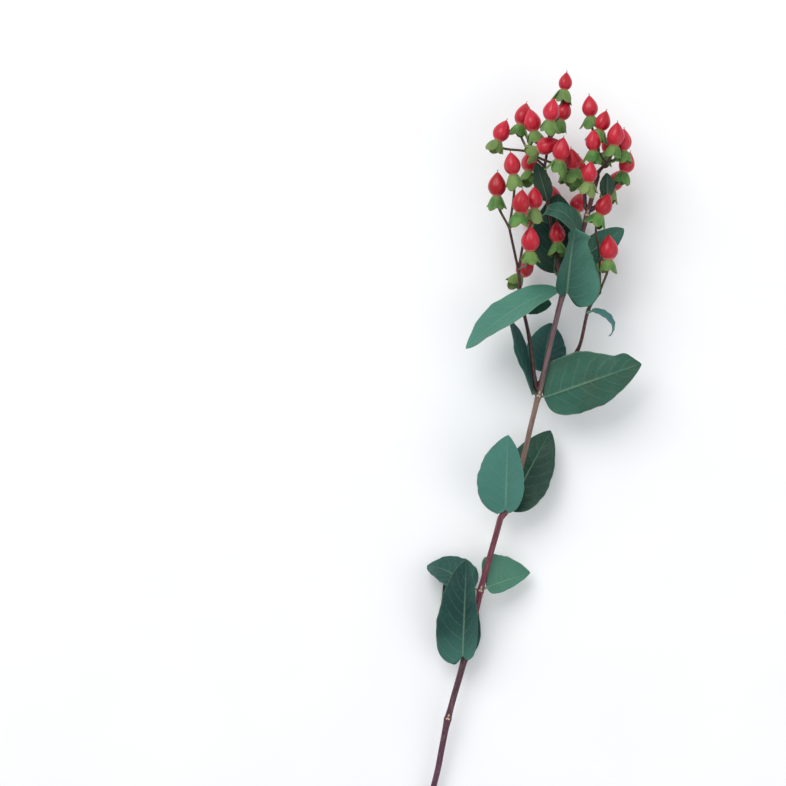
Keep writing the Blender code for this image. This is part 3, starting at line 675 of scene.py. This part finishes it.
# The first tone value of each leaf sets how light it is: partly its own tone, partly painted
# light and shade.
leaf_piece("leaf_1_front", stem_axis(n1), leaf_base(n1, 110, 1.5), heading=-13, rise=24,
           roll=178, length=67, width=36, bend=10, fold=14, tip_fold=26, foot=0.25, lobe=7,
           halves=(0.5, 1.0), wave=1.2, tone=(0.03, 0.08, 0.0, (0.1, 0.0), 0.4))
leaf_piece("leaf_1_under", stem_axis(n1), leaf_base(n1, 285), heading=-24, rise=-34, roll=0,
           length=62, width=23, bend=-34, fold=4, tone=(0.05, 0.1))
leaf_piece("leaf_2_left", stem_axis(n2), leaf_base(n2, 185, 0.8), heading=-66, rise=-4, roll=38,
           length=34, width=26, bend=50, fold=14, tone=(0.2, 0.1))
leaf_piece("leaf_2_right", stem_axis(n2), leaf_base(n2 + 3.0, 345, 0.4), heading=57, rise=-16,
           roll=-10, length=29, width=30, bend=4, fold=10, foot=0.25, halves=(1.2, 0.4),
           tone=(0.64, 0.0, 0.1))
leaf_piece("leaf_3_front", stem_axis(n3), leaf_base(n3, 100), heading=-14, rise=36, roll=176,
           length=54, width=30, bend=-6, fold=12, foot=0.35, lobe=4, halves=(0.72, 1.22),
           wave=0.8, tone=(0.84, 0.2))
leaf_piece("leaf_3_back", stem_axis(n3), leaf_base(n3, 290), heading=14, rise=-12, roll=-6,
           length=55, width=31, bend=-8, fold=8, tone=(0.02, 0.0, 0.1))
leaf_piece("leaf_4_right", stem_axis(n4), leaf_base(n4, 340, 0.6), heading=56, rise=4, roll=184,
           length=62, width=37, bend=4, fold=5, foot=0.34, halves=(0.88, 1.05), wave=2.4,
           edges=(((0.3, 1.0), (0.65, 1.1)), ((0.5, 1.05), (0.77, 0.86), (0.9, 1.3))),
           tone=(0.28, 0.0, 0.2))
leaf_piece("leaf_4_left", stem_axis(n4), leaf_base(n4, 165), heading=-36, rise=-1, roll=74,
           length=52, width=29, bend=-10, fold=10, wave=1.0, tone=(0.14, 0.2))
leaf_piece("leaf_5_front", stem_axis(n5), leaf_base(n5 + 1.0, 72, 3.6), heading=-11, rise=42,
           roll=166, length=46, width=41, bend=-18, fold=13, tip_fold=47, foot=0.2, lobe=11,
           halves=(1.0, 0.42), edges=(((0.7, 0.9), (0.95, 1.7)), ((0.7, 1.0), (0.95, 1.7))),
           tone=(0.2, 0.0, 0.0, (0.55, 0.0)))
leaf_piece("leaf_5_left", stem_axis(n5), leaf_base(n5 + 1.5, 212, 0.8), heading=-119, rise=21,
           roll=56, length=68, width=26, bend=36, fold=12, foot=0.6, wave=0.8, early=True,
           tone=(0.74, 0.08))
leaf_piece("leaf_6_left", stem_axis(n6 - 14.0), leaf_base(n6 - 14.0, 125, 1.0), heading=-20,
           rise=46, roll=60, length=43, width=14, bend=225, fold=8, tone=(0.3, 0.0, 0.1))


# The berry sprays: thin wiry stalks in a forked cluster, each ending in one berry. A berry is a
# fleshy capsule of three chambers, glossy red when ripe, drawn up to a beak that keeps its three
# styles, and it sits in five broad green sepals that bend back along the stalk.

BERRY_WIDTH_RATIO = 0.71
BERRY_ROWS, BERRY_SIDES = 30, 42
BERRY_SHOULDER, BERRY_ROUNDNESS = 0.84, 0.78
BERRY_SEAT, BERRY_BEAK = 0.22, 0.03
CHAMBERS, CHAMBER_FULLNESS = 3, 0.03
CREASE_DEPTH, CREASE_REACH = 0.06, 0.16
STYLE_LENGTH, STYLE_RADIUS, STYLE_SINK = 1.0, 0.12, 0.4
STYLE_GAP, STYLE_CURL = 0.12, 0.45
STYLE_STEPS, STYLE_SIDES = 5, 6
PEDICEL_RADIUS, BRANCH_RADIUS = 0.72, 1.05
BRANCH_FOOT, BRANCH_START, BRANCH_THINNING = 1.2, 1.12, 0.2
JOINT_SWELLING, JOINT_REACH = 0.22, 0.9
BRANCH_STEPS, STALK_STEPS, STALK_SIDES = 10, 14, 12
SEPALS_PER_BERRY = 5
SEPAL_LENGTH, SEPAL_HALF_WIDTH, SEPAL_FOOT_HALF_WIDTH = 9.4, 3.5, 1.5
SEPAL_WIDEST, SEPAL_SMALLER = 0.55, 0.88
SEPAL_BACK, SEPAL_DROOP, SEPAL_OPENING = (22, 40), 7, 62
SEPAL_BOWL, SEPAL_RIPPLE = 0.34, 0.05
SEPAL_THICKNESS = 0.3
SEPAL_ROWS, SEPAL_HALF_COLUMNS = 18, 7
BRACT_ROWS, BRACT_HALF_COLUMNS = 48, 14
BRACT_TONE = (0.06, 0.0, 0.25)
SPLAY = 0.011
JOIN_GAP = 0.3


def stalk_finish():
    """Wiry red-brown stalks, greener and rubbed where they thicken under the berry."""
    made, tree = new_finish("stalk_skin", 0.48, Specular_IOR_Level=0.45)
    streak = faded(tree, grained(tree, 1400, 160), 0.38, 0.7)
    colour = coated(tree, blended(tree, streak, paint(50, 27, 31), paint(98, 54, 52)),
                    (mark_of(tree, "greenness"), 0.75, paint(92, 100, 54)))
    return finished(made, colour, grained(tree, 2400, 500), 0.4, 0.00012)


def sepal_finish():
    """Fresh yellow-green sepals with fine lengthwise veins, a pale edge and a flushed tip."""
    made, tree = new_finish("sepal_skin", 0.5, Specular_IOR_Level=0.25)
    across, along = across_and_along(tree)
    cloud = faded(tree, grained(tree, 130), 0.3, 0.7)
    off = off_midline(tree, across)
    lines = reckoned(tree, "PINGPONG", times(tree, off, 3.5), 0.5)
    vein = faded(tree, lines, 0.02, 0.14, 1.0, 0.0)
    flush = times(tree, faded(tree, along, 0.8, 1.0, 0.0, 0.45), cloud)
    colour = coated(tree, blended(tree, cloud, paint(50, 104, 48), paint(98, 142, 66)),
                    (mark_of(tree, "paleness"), 1, paint(138, 146, 92)),
                    (faded(tree, along, 0.35, 0.0), 1, paint(128, 152, 88)),
                    (vein, 0.16, paint(150, 178, 104)),
                    (faded(tree, off, 0.86, 1.0, 0.0, 0.4), 1, paint(160, 172, 108)),
                    (flush, 1, paint(164, 108, 74)))
    relief = reckoned(tree, "MULTIPLY_ADD", grained(tree, 1500), 0.3, vein)
    return finished(made, colour, relief, 0.4, 0.0002)


def berry_finish():
    """Taut glossy red skin: streaked, with painted shade in the creases, pale at its seat,
    brown-beaked.
    """
    made, tree = new_finish("berry_skin", 0.33, Specular_IOR_Level=0.35, Coat_Weight=0.12,
                            Coat_Roughness=0.2)
    around, along = across_and_along(tree)
    stretched = wire(tree, "CombineXYZ", {"X": times(tree, around, 14.0),
                                          "Y": times(tree, along, 2.2)})
    streak = wire(tree, "TexNoise", {"Vector": stretched.outputs[0], "Scale": 1.0,
                                     "Detail": GRAIN_DETAIL}).outputs["Fac"]
    cloud = faded(tree, grained(tree, 95), 0.3, 0.7)
    # Painted shade: the skin is darkened along the three creases, where shade falls.
    near = reckoned(tree, "PINGPONG", times(tree, around, float(CHAMBERS)), 0.5)
    colour = blended(tree, faded(tree, streak, 0.3, 0.72), paint(190, 18, 44),
                     paint(222, 46, 74))
    colour = coated(tree, colour, (cloud, 0.35, paint(176, 20, 38)),
                    (mark_of(tree, "ripeness"), 1, paint(152, 8, 16)),
                    (faded(tree, near, 0.0, 0.07, 0.35, 0.0), 1, paint(120, 8, 20)),
                    (faded(tree, along, 0.15, 0.03, 0.0, 0.65), 1, paint(236, 160, 152)),
                    (faded(tree, along, 0.9, 1.0, 0.0, 0.85), 1, paint(110, 44, 34)))
    fine = grained(tree, 900)
    return finished(made, colour, fine, 0.25, 0.0001, faded(tree, fine, 0.3, 0.7, 0.28, 0.42))


def frame_of(direction, turn):
    """Two directions square to a berry's axis, turned about it."""
    side = direction.cross(Vector((0.0, 0.0, 1.0)))
    if side.length < 0.1:
        side = direction.cross(Vector((1.0, 0.0, 0.0)))
    side.normalize()
    front = side.cross(direction)
    return (side * math.cos(turn) + front * math.sin(turn),
            front * math.cos(turn) - side * math.sin(turn))


def berry(seat, direction, length, turn):
    """The fleshy capsule: three full chambers between creases, drawn up to a beak."""
    side, front = frame_of(direction, turn)
    u = 0.5 - 0.5 * np.cos(np.pi * np.arange(BERRY_ROWS + 1) / BERRY_ROWS)
    outline = np.sin(np.pi * np.minimum(u + 0.035, 1.0) ** BERRY_SHOULDER) ** BERRY_ROUNDNESS
    outline = outline * (1 - 0.1 * u * u)
    outline[0], outline[-1] = BERRY_SEAT, BERRY_BEAK
    around = np.arange(BERRY_SIDES) / BERRY_SIDES
    turns = 2 * np.pi * around
    from_crease = np.abs((CHAMBERS * around + 0.5) % 1.0 - 0.5) * 2 * np.pi / CHAMBERS
    crease = CREASE_DEPTH * np.exp(-(from_crease / CREASE_REACH) ** 2)
    full = CHAMBER_FULLNESS * np.cos(CHAMBERS * turns + np.pi)
    share = np.sin(np.pi * np.clip(u, 0.02, 0.98))[:, None] ** 0.5
    reach = length * BERRY_WIDTH_RATIO / 2 * outline[:, None] * (1 + share * (full - crease))
    ring = np.outer(np.cos(turns), side) + np.outer(np.sin(turns), front)
    spine = np.array(seat) + np.outer(u * length, direction)
    points = (spine[:, None] + reach[..., None] * ring).reshape(-1, 3)
    points = np.vstack([points, [seat], [seat + direction * (length + 0.02)]])
    faces = [(face[0], *face[:0:-1]) for face in tube_faces(BERRY_ROWS + 1, BERRY_SIDES)]
    flats = np.stack(np.broadcast_arrays(around[None, :], u[:, None]), axis=-1).reshape(-1, 2)
    return points, faces, [0] * len(faces), np.vstack([flats, [[0.0, 0.0]], [[0.0, 1.0]]])


def styles(tip, direction, turn):
    """Three short dried styles that curl apart on the beak."""
    made, steps = [], [i / STYLE_STEPS for i in range(STYLE_STEPS + 1)]
    for k in range(CHAMBERS):
        out, _ = frame_of(direction, turn + 2 * math.pi * k / CHAMBERS)
        made.append(limb([tip + direction * (STYLE_LENGTH * u - STYLE_SINK)
                          + out * (STYLE_GAP + STYLE_CURL * STYLE_LENGTH * u * u) for u in steps],
                         [STYLE_RADIUS * (1 - 0.5 * u) for u in steps], STYLE_SIDES, 1))
    return made


def sepal(seat, direction, turn, back, length, half):
    """One broad sepal: a rounded spoon that bows out and curls a little at its tip."""
    out, sideways = frame_of(direction, turn)
    s = np.arange(SEPAL_ROWS + 1) / SEPAL_ROWS
    w = np.arange(-SEPAL_HALF_COLUMNS, SEPAL_HALF_COLUMNS + 1) / SEPAL_HALF_COLUMNS
    opened = math.radians(SEPAL_OPENING) * np.clip(1 - s / 0.3, 0, 1) ** 1.4
    lean = back - math.radians(SEPAL_DROOP) + opened + 0.05 * s ** 2
    run = np.outer(-np.cos(lean), direction) + np.outer(np.sin(lean), out)
    face = np.outer(np.cos(lean), out) + np.outer(np.sin(lean), direction)
    steps = run[:-1] * (1.12 * length / SEPAL_ROWS)
    line = np.array(seat + out + direction * 0.75) + np.cumsum(np.vstack([np.zeros(3), steps]),
                                                              axis=0)
    width = SEPAL_FOOT_HALF_WIDTH + (half - SEPAL_FOOT_HALF_WIDTH) * eased(
        np.clip(s / SEPAL_WIDEST, 0, 1))
    tip = np.clip((s - SEPAL_WIDEST) / (1 - SEPAL_WIDEST), 0, 1)
    width = (width * np.maximum(1 - tip ** 1.9, 0.0) ** 0.58 + 0.12)[:, None]
    bowl = SEPAL_RIPPLE * np.cos(7 * w) * s[:, None] - SEPAL_BOWL * width * w ** 2
    middle = (line[:, None] + np.array(sideways) * (width * w)[..., None]
              + face[:, None] * bowl[..., None])
    half_thick = square_to(middle) * SEPAL_THICKNESS / 2
    return closed_sheet(middle + half_thick, middle - half_thick, w, s)


def calyx(seat, direction, draws):
    """Five sepals of uneven size round a berry's seat."""
    first = draws.uniform(0, 2 * math.pi)
    made = []
    for k in range(SEPALS_PER_BERRY):
        size = 1.0 if k in (0, 2) else SEPAL_SMALLER
        back = math.radians(draws.uniform(*SEPAL_BACK))
        length = SEPAL_LENGTH * size * draws.uniform(0.92, 1.08)
        made.append(sepal(seat, direction, first + 2 * math.pi * k / SEPALS_PER_BERRY, back,
                          length, SEPAL_HALF_WIDTH * size))
    return made


def curve_through(points, fraction):
    """A place on the smooth curve through the points, at 0 to 1 of its run."""
    spans = len(points) - 1
    run = min(max(fraction, 0.0), 1.0) * spans
    i = min(int(run), spans - 1)
    u = run - i
    p1, p2 = Vector(points[i]), Vector(points[i + 1])
    p0 = Vector(points[i - 1]) if i > 0 else p1 * 2 - p2
    p3 = Vector(points[i + 2]) if i + 2 <= spans else p2 * 2 - p1
    return 0.5 * (2 * p1 + (p2 - p0) * u + (2 * p0 - 5 * p1 + 4 * p2 - p3) * u * u
                  + (3 * p1 - p0 - 3 * p2 + p3) * u ** 3)


def side_stalk(start, leaving, end, arriving, thickness):
    """A thin stalk on a smooth bend from its fork to its end, as thick as it says on its way."""
    span = (end - start).length
    first, second = start + leaving * (0.35 * span), end - arriving * (0.4 * span)
    steps = [i / STALK_STEPS for i in range(STALK_STEPS + 1)]
    centres = [start * (1 - u) ** 3 + first * (3 * u * (1 - u) ** 2)
               + second * (3 * u * u * (1 - u)) + end * u ** 3 for u in steps]
    return limb(centres, [PEDICEL_RADIUS * thickness(u) for u in steps], STALK_SIDES)


def berry_direction(heading, height):
    """Berries point along the stem and lean out from the middle of the head."""
    heading = math.radians(heading)
    lean = SPLAY * (height - HEAD_HEIGHT)
    return Vector((math.sin(heading), math.cos(heading), lean)).normalized()


def axil(y, side, lift=5.0):
    """Where a branch leaves the stem, just above a leaf."""
    return off_bark(y + lift, side, BRANCH_RADIUS * BRANCH_START + JOIN_GAP)


def marked_piece(name, parts, finishes, node, mark):
    """A piece joined from parts that each carry their own value of one mark."""
    values = np.concatenate([np.full(len(part[0]), value) for part, value in parts])
    mesh_piece(name, joined(*(part for part, _ in parts)), finishes, node,
               {mark: values})


def berry_spray(name, seed, root, run, berries, forks=(), bracts=(), ripest=0.5):
    """A branched cluster: its stalks from their root in the wood, sepals, berries and bracts.

    A berry is the number of its joint, its middle, its heading and its length, and the word
    ground where it rests on the surface. A fork is the joint it leaves and its new joint.
    """
    draws, tints = random.Random(seed), random.Random(100 * seed)
    joints = [Vector(point) for point in run]
    count = BRANCH_STEPS * (len(joints) - 1)
    centres, radii = [Vector(root)], [BRANCH_RADIUS * BRANCH_FOOT]
    for i in range(count + 1):
        from_joint = (i / BRANCH_STEPS - round(i / BRANCH_STEPS)) * BRANCH_STEPS
        swell = 1 + JOINT_SWELLING * math.exp(-(from_joint / JOINT_REACH) ** 2)
        centres.append(curve_through(joints, i / count))
        radii.append(BRANCH_RADIUS * (BRANCH_START - BRANCH_THINNING * i / count) * swell)
    stalks, sepals, capsules = [(limb(centres, radii, STALK_SIDES), 0.0)], [], []
    for parent, place in forks:
        place = Vector(place)
        way = (place - joints[parent]).normalized()
        stalks.append((side_stalk(joints[parent] - way * 0.5, way, place, way,
                                  lambda u: 1.2 - 0.1 * u), 0.1))
        joints.append(place)
    for fork, middle, heading, length, *resting in berries:
        direction = berry_direction(heading, middle[2])
        seat = Vector(middle) - direction * (0.5 * length)
        turn = draws.uniform(0, math.pi)
        state = draws.getstate()
        parts = [berry(seat, direction, length, turn)] + calyx(seat, direction, draws)
        if resting:
            seat.z -= min(points[:, 2].min() for points, *_ in parts)
            draws.setstate(state)
            parts = [berry(seat, direction, length, turn)] + calyx(seat, direction, draws)
        ripe, pale = ripest * tints.uniform(0.2, 1.0), 0.6 * tints.random() ** 1.5
        dried = styles(seat + direction * length, direction, turn)
        capsules += [(part, ripe) for part in [parts[0]] + dried]
        sepals += [(part, pale) for part in parts[1:]]
        leaving = (seat - joints[fork]).normalized()
        stalks.append((side_stalk(joints[fork], leaving, seat + direction * 0.9, direction,
                                  lambda u: 1 + 0.15 * u + 2.45 * max(0, u - 0.8)), 0.45))
    marked_piece(name + "_stalks", stalks, [stalk_skin], name, "greenness")
    marked_piece(name + "_sepals", sepals, [sepal_skin], name, "paleness")
    marked_piece(name + "_berries", capsules, [berry_skin, style_skin], name,
                 "ripeness")
    for number, (joint, shape) in enumerate(bracts):
        part = blade(base=joints[joint], beside_stem=False, rows=BRACT_ROWS,
                     half_columns=BRACT_HALF_COLUMNS, **shape)
        mesh_piece(f"{name}_bract_{number}", part, [leaf_top, leaf_under], name,
                   toned(part, *BRACT_TONE))


stalk_skin, sepal_skin, berry_skin = stalk_finish(), sepal_finish(), berry_finish()
style_skin = two_toned("dried_style", 0.75, 2000, 0.3, paint(66, 40, 28), paint(124, 84, 56))
ahead = stem_tangent(STEM_LENGTH)
top = stem_axis(STEM_LENGTH) + ahead * (JOIN_GAP + 0.15)
berry_spray("spray_top", 3, top - ahead * 3.0, (top, top + ahead * 3.0, (3.2, 443.0, 44.5)), (
    (2, (3.6, 460.3, 62.0), -8, 15.0),
    (2, (9.2, 458.6, 54.0), -13, 14.0),
    (3, (-5.6, 466.5, 56.0), 3, 13.2),
    (3, (-8.4, 453.5, 58.0), -15, 13.5),
    (3, (-15.2, 473.4, 47.0), -19, 13.8),
    (2, (3.0, 456.0, 30.0), 6, 14.0),
), forks=((2, (-3.0, 448.0, 46.0)),))
berry_spray("spray_upper_left", 5, stem_axis(n6 + 2.0), (
    axil(n6, 215), (-7.0, 428.0, 35.0), (-17.0, 434.0, 40.0)), (
    (1, (-5.8, 434.3, 66.0), -9, 13.5),
    (1, (-12.4, 438.0, 33.0), -14, 13.5),
    (2, (-25.4, 443.4, 63.0), -5, 15.0),
    (2, (-17.4, 440.0, 52.0), -23, 13.5),
    (2, (-33.5, 444.0, 54.0), 50, 15.0),
    (2, (-19.0, 440.0, 28.0), -10, 14.0),
))
berry_spray("spray_upper_right", 7, stem_axis(n6 + 2.0), (
    axil(n6, 345), (9.0, 424.0, 37.0), (11.5, 431.0, 36.0)), (
    (2, (15.2, 447.1, 39.0), 2, 13.8),
    (1, (12.0, 436.0, 22.0), 8, 14.0),
), bracts=((1, dict(heading=-18, rise=36, roll=180, length=18, width=9, bend=10)),))
berry_spray("spray_long_left", 11, stem_axis(n5 + 2.0), (
    axil(n5, 200), (-15.0, 390.0, 33.0), (-25.0, 413.0, 33.0), (-32.0, 432.0, 40.0)), (
    (4, (-33.1, 484.1, 47.0), -7, 11.6),
    (4, (-37.0, 464.5, 63.0), -4, 14.4),
    (4, (-29.6, 467.5, 44.0), 2, 13.5),
    (5, (-52.2, 459.6, 33.0), 1, 15.0),
    (5, (-46.6, 456.8, 40.5), -25, 15.0),
    (5, (-62.0, 446.2, 42.0), 8, 14.5),
    (3, (-41.5, 433.6, 26.0), -12, 14.0),
    (6, (-14.6, 396.0, 36.0), -18, 14.0),
), forks=((3, (-33.5, 447.0, 46.0)), (3, (-44.0, 438.0, 38.0)), (1, (-13.0, 386.0, 34.0))),
    bracts=((2, dict(heading=-32, rise=30, roll=186, length=26, width=11, bend=-12)),))
berry_spray("spray_side_right", 13, stem_axis(n4 + 5.0), (
    axil(n4, 240, 8.0), (6.0, 319.0, 18.0), (16.0, 331.0, 21.0), (15.6, 355.4, 31.0),
    (19.5, 368.0, 33.5)), (
    (4, (17.2, 394.6, 47.0), -15, 16.2),
    (5, (7.9, 418.5, 56.0), 10, 14.6),
), forks=((4, (14.0, 388.0, 36.0)),), ripest=1.0)
berry_spray("spray_low_left", 17, stem_axis(n4 + 2.0), (
    axil(n4, 185), (-14.0, 330.0, 25.0), (-24.0, 350.0, 24.0), (-31.0, 368.0, 29.0)), (
    (3, (-29.6, 387.1, 60.0), -13, 16.0),
    (5, (-40.8, 407.1, 66.0), -8, 15.0),
    (4, (-33.5, 411.5, 56.0), -15, 14.0),
    (5, (-51.7, 427.7, 60.0), -23, 14.5),
    (5, (-57.0, 414.0, 52.0), -13, 15.5),
    (2, (-27.0, 372.0, 16.0), 19, 15.0),
), forks=((3, (-33.0, 386.0, 45.0)), (3, (-43.0, 390.0, 49.0))),
    bracts=((2, dict(heading=78, rise=12, roll=0, length=18, width=14, bend=10)),), ripest=0.9)
berry_spray("spray_under", 19, stem_axis(n5 + 2.0), (
    axil(n5, 285), (-6.0, 378.0, 19.0), (-9.0, 390.0, 15.0)), (
    (1, (17.0, 392.0, 5.0), 24, 14.5, "ground"),
    (2, (-33.0, 402.0, 5.0), -38, 14.5, "ground"),
    (2, (-6.0, 418.0, 12.0), 4, 14.0),
    (2, (-22.0, 418.0, 13.0), -24, 14.0),
))


# The leaves of the side shoots: smaller blades of the same kind, which grow on the stalks of the
# head and from buds on the stem. Each is set on the wood or the stalk beside it by the same
# short foot.

leaf_piece("shoot_leaf_left", (-6.5, 370.5, 34.0), (-10.0, 372.0, 26.0), heading=-12, rise=-2,
           roll=4, length=48, width=32, bend=-6, fold=8, tone=(0.0, 0.0, 0.2))
leaf_piece("shoot_leaf_right", (-1.0, 308.5, 19.0), (-1.0, 313.0, 11.0), heading=-5, rise=2,
           roll=0, length=30, width=25, bend=4, fold=8, tone=(0.12, 0.25, 0.0, (0.6, 0.0)))
leaf_piece("shoot_leaf_small", stem_axis(380.0), leaf_base(382.0, 330), heading=38, rise=0,
           roll=176, length=38, width=17, bend=-50, fold=10, tone=(0.3, 0.0))
leaf_piece("shoot_leaf_curled", (15.6, 354.0, 31.0), (17.6, 356.0, 35.0), heading=86, rise=10,
           roll=-60, length=25, width=8, bend=135, fold=10, beside_stem=False, tone=(0.5, 0.5))


# The surface, the light and the camera: the stem lies on a plain pale table under a broad soft
# lamp, a weaker one and a bright even room. The camera looks straight down on it through a long
# lens, with the stem leaning to the right.

TABLE_SIZE = 6.0
ROOM_COLOUR, ROOM_STRENGTH = (0.94, 0.97, 1.0, 1.0), 0.66
LAMP_TARGET = (0.0, 0.1, 0.02)
FRAME_WIDTH = 471.6
LENS, SENSOR, FARTHEST = 200.0, 36.0, 20.0
VIEW_CENTRE = (-85.2, 277.4, 38.0)
STEM_LEAN = math.radians(14.8)

half = TABLE_SIZE / 2
table_mesh = bpy.data.meshes.new("table_top")
table_mesh.from_pydata([(-half, -half, 0.0), (half, -half, 0.0), (half, half, 0.0),
                        (-half, half, 0.0)], [], [(0, 1, 2, 3)])
table_mesh.materials.append(two_toned("pale_table", 0.85, 8, 0.3, (0.94, 0.94, 0.945, 1.0),
                                      (0.97, 0.97, 0.97, 1.0), Specular_IOR_Level=0.2))
table = bpy.data.objects.new("table_top", table_mesh)
bpy.context.scene.collection.objects.link(table)

room = bpy.data.worlds.new("even_room")
bpy.context.scene.world = room
room.use_nodes = True
background = room.node_tree.nodes["Background"]
background.inputs["Color"].default_value = ROOM_COLOUR
background.inputs["Strength"].default_value = ROOM_STRENGTH


def soft_lamp(name, place, size, power):
    """A broad square lamp turned to the stem."""
    lamp = bpy.data.lights.new(name, "AREA")
    lamp.size, lamp.energy = size, power
    holder = bpy.data.objects.new(name, lamp)
    bpy.context.scene.collection.objects.link(holder)
    holder.location = place
    way = Vector(LAMP_TARGET) - Vector(place)
    holder.rotation_euler = way.to_track_quat("-Z", "Y").to_euler()


soft_lamp("key_lamp", (-0.9, 0.9, 1.5), 1.3, 20.0)
soft_lamp("fill_lamp", (1.2, -0.2, 1.4), 1.4, 5.0)

centre = Vector((Vector(VIEW_CENTRE) - Vector(FOOTPRINT_CENTRE)) * MM)
camera = bpy.data.objects.new("camera", bpy.data.cameras.new("camera"))
bpy.context.scene.collection.objects.link(camera)
camera.data.lens, camera.data.sensor_width = LENS, SENSOR
camera.data.clip_end = FARTHEST
right = Vector((math.cos(STEM_LEAN), math.sin(STEM_LEAN), 0.0))
up = Vector((-math.sin(STEM_LEAN), math.cos(STEM_LEAN), 0.0))
camera.location = centre + Vector((0.0, 0.0, FRAME_WIDTH * MM * LENS / SENSOR))
camera.rotation_euler = Matrix((right, up, right.cross(up))).transposed().to_euler()
bpy.context.scene.camera = camera
bpy.context.scene.view_settings.view_transform = "Standard"
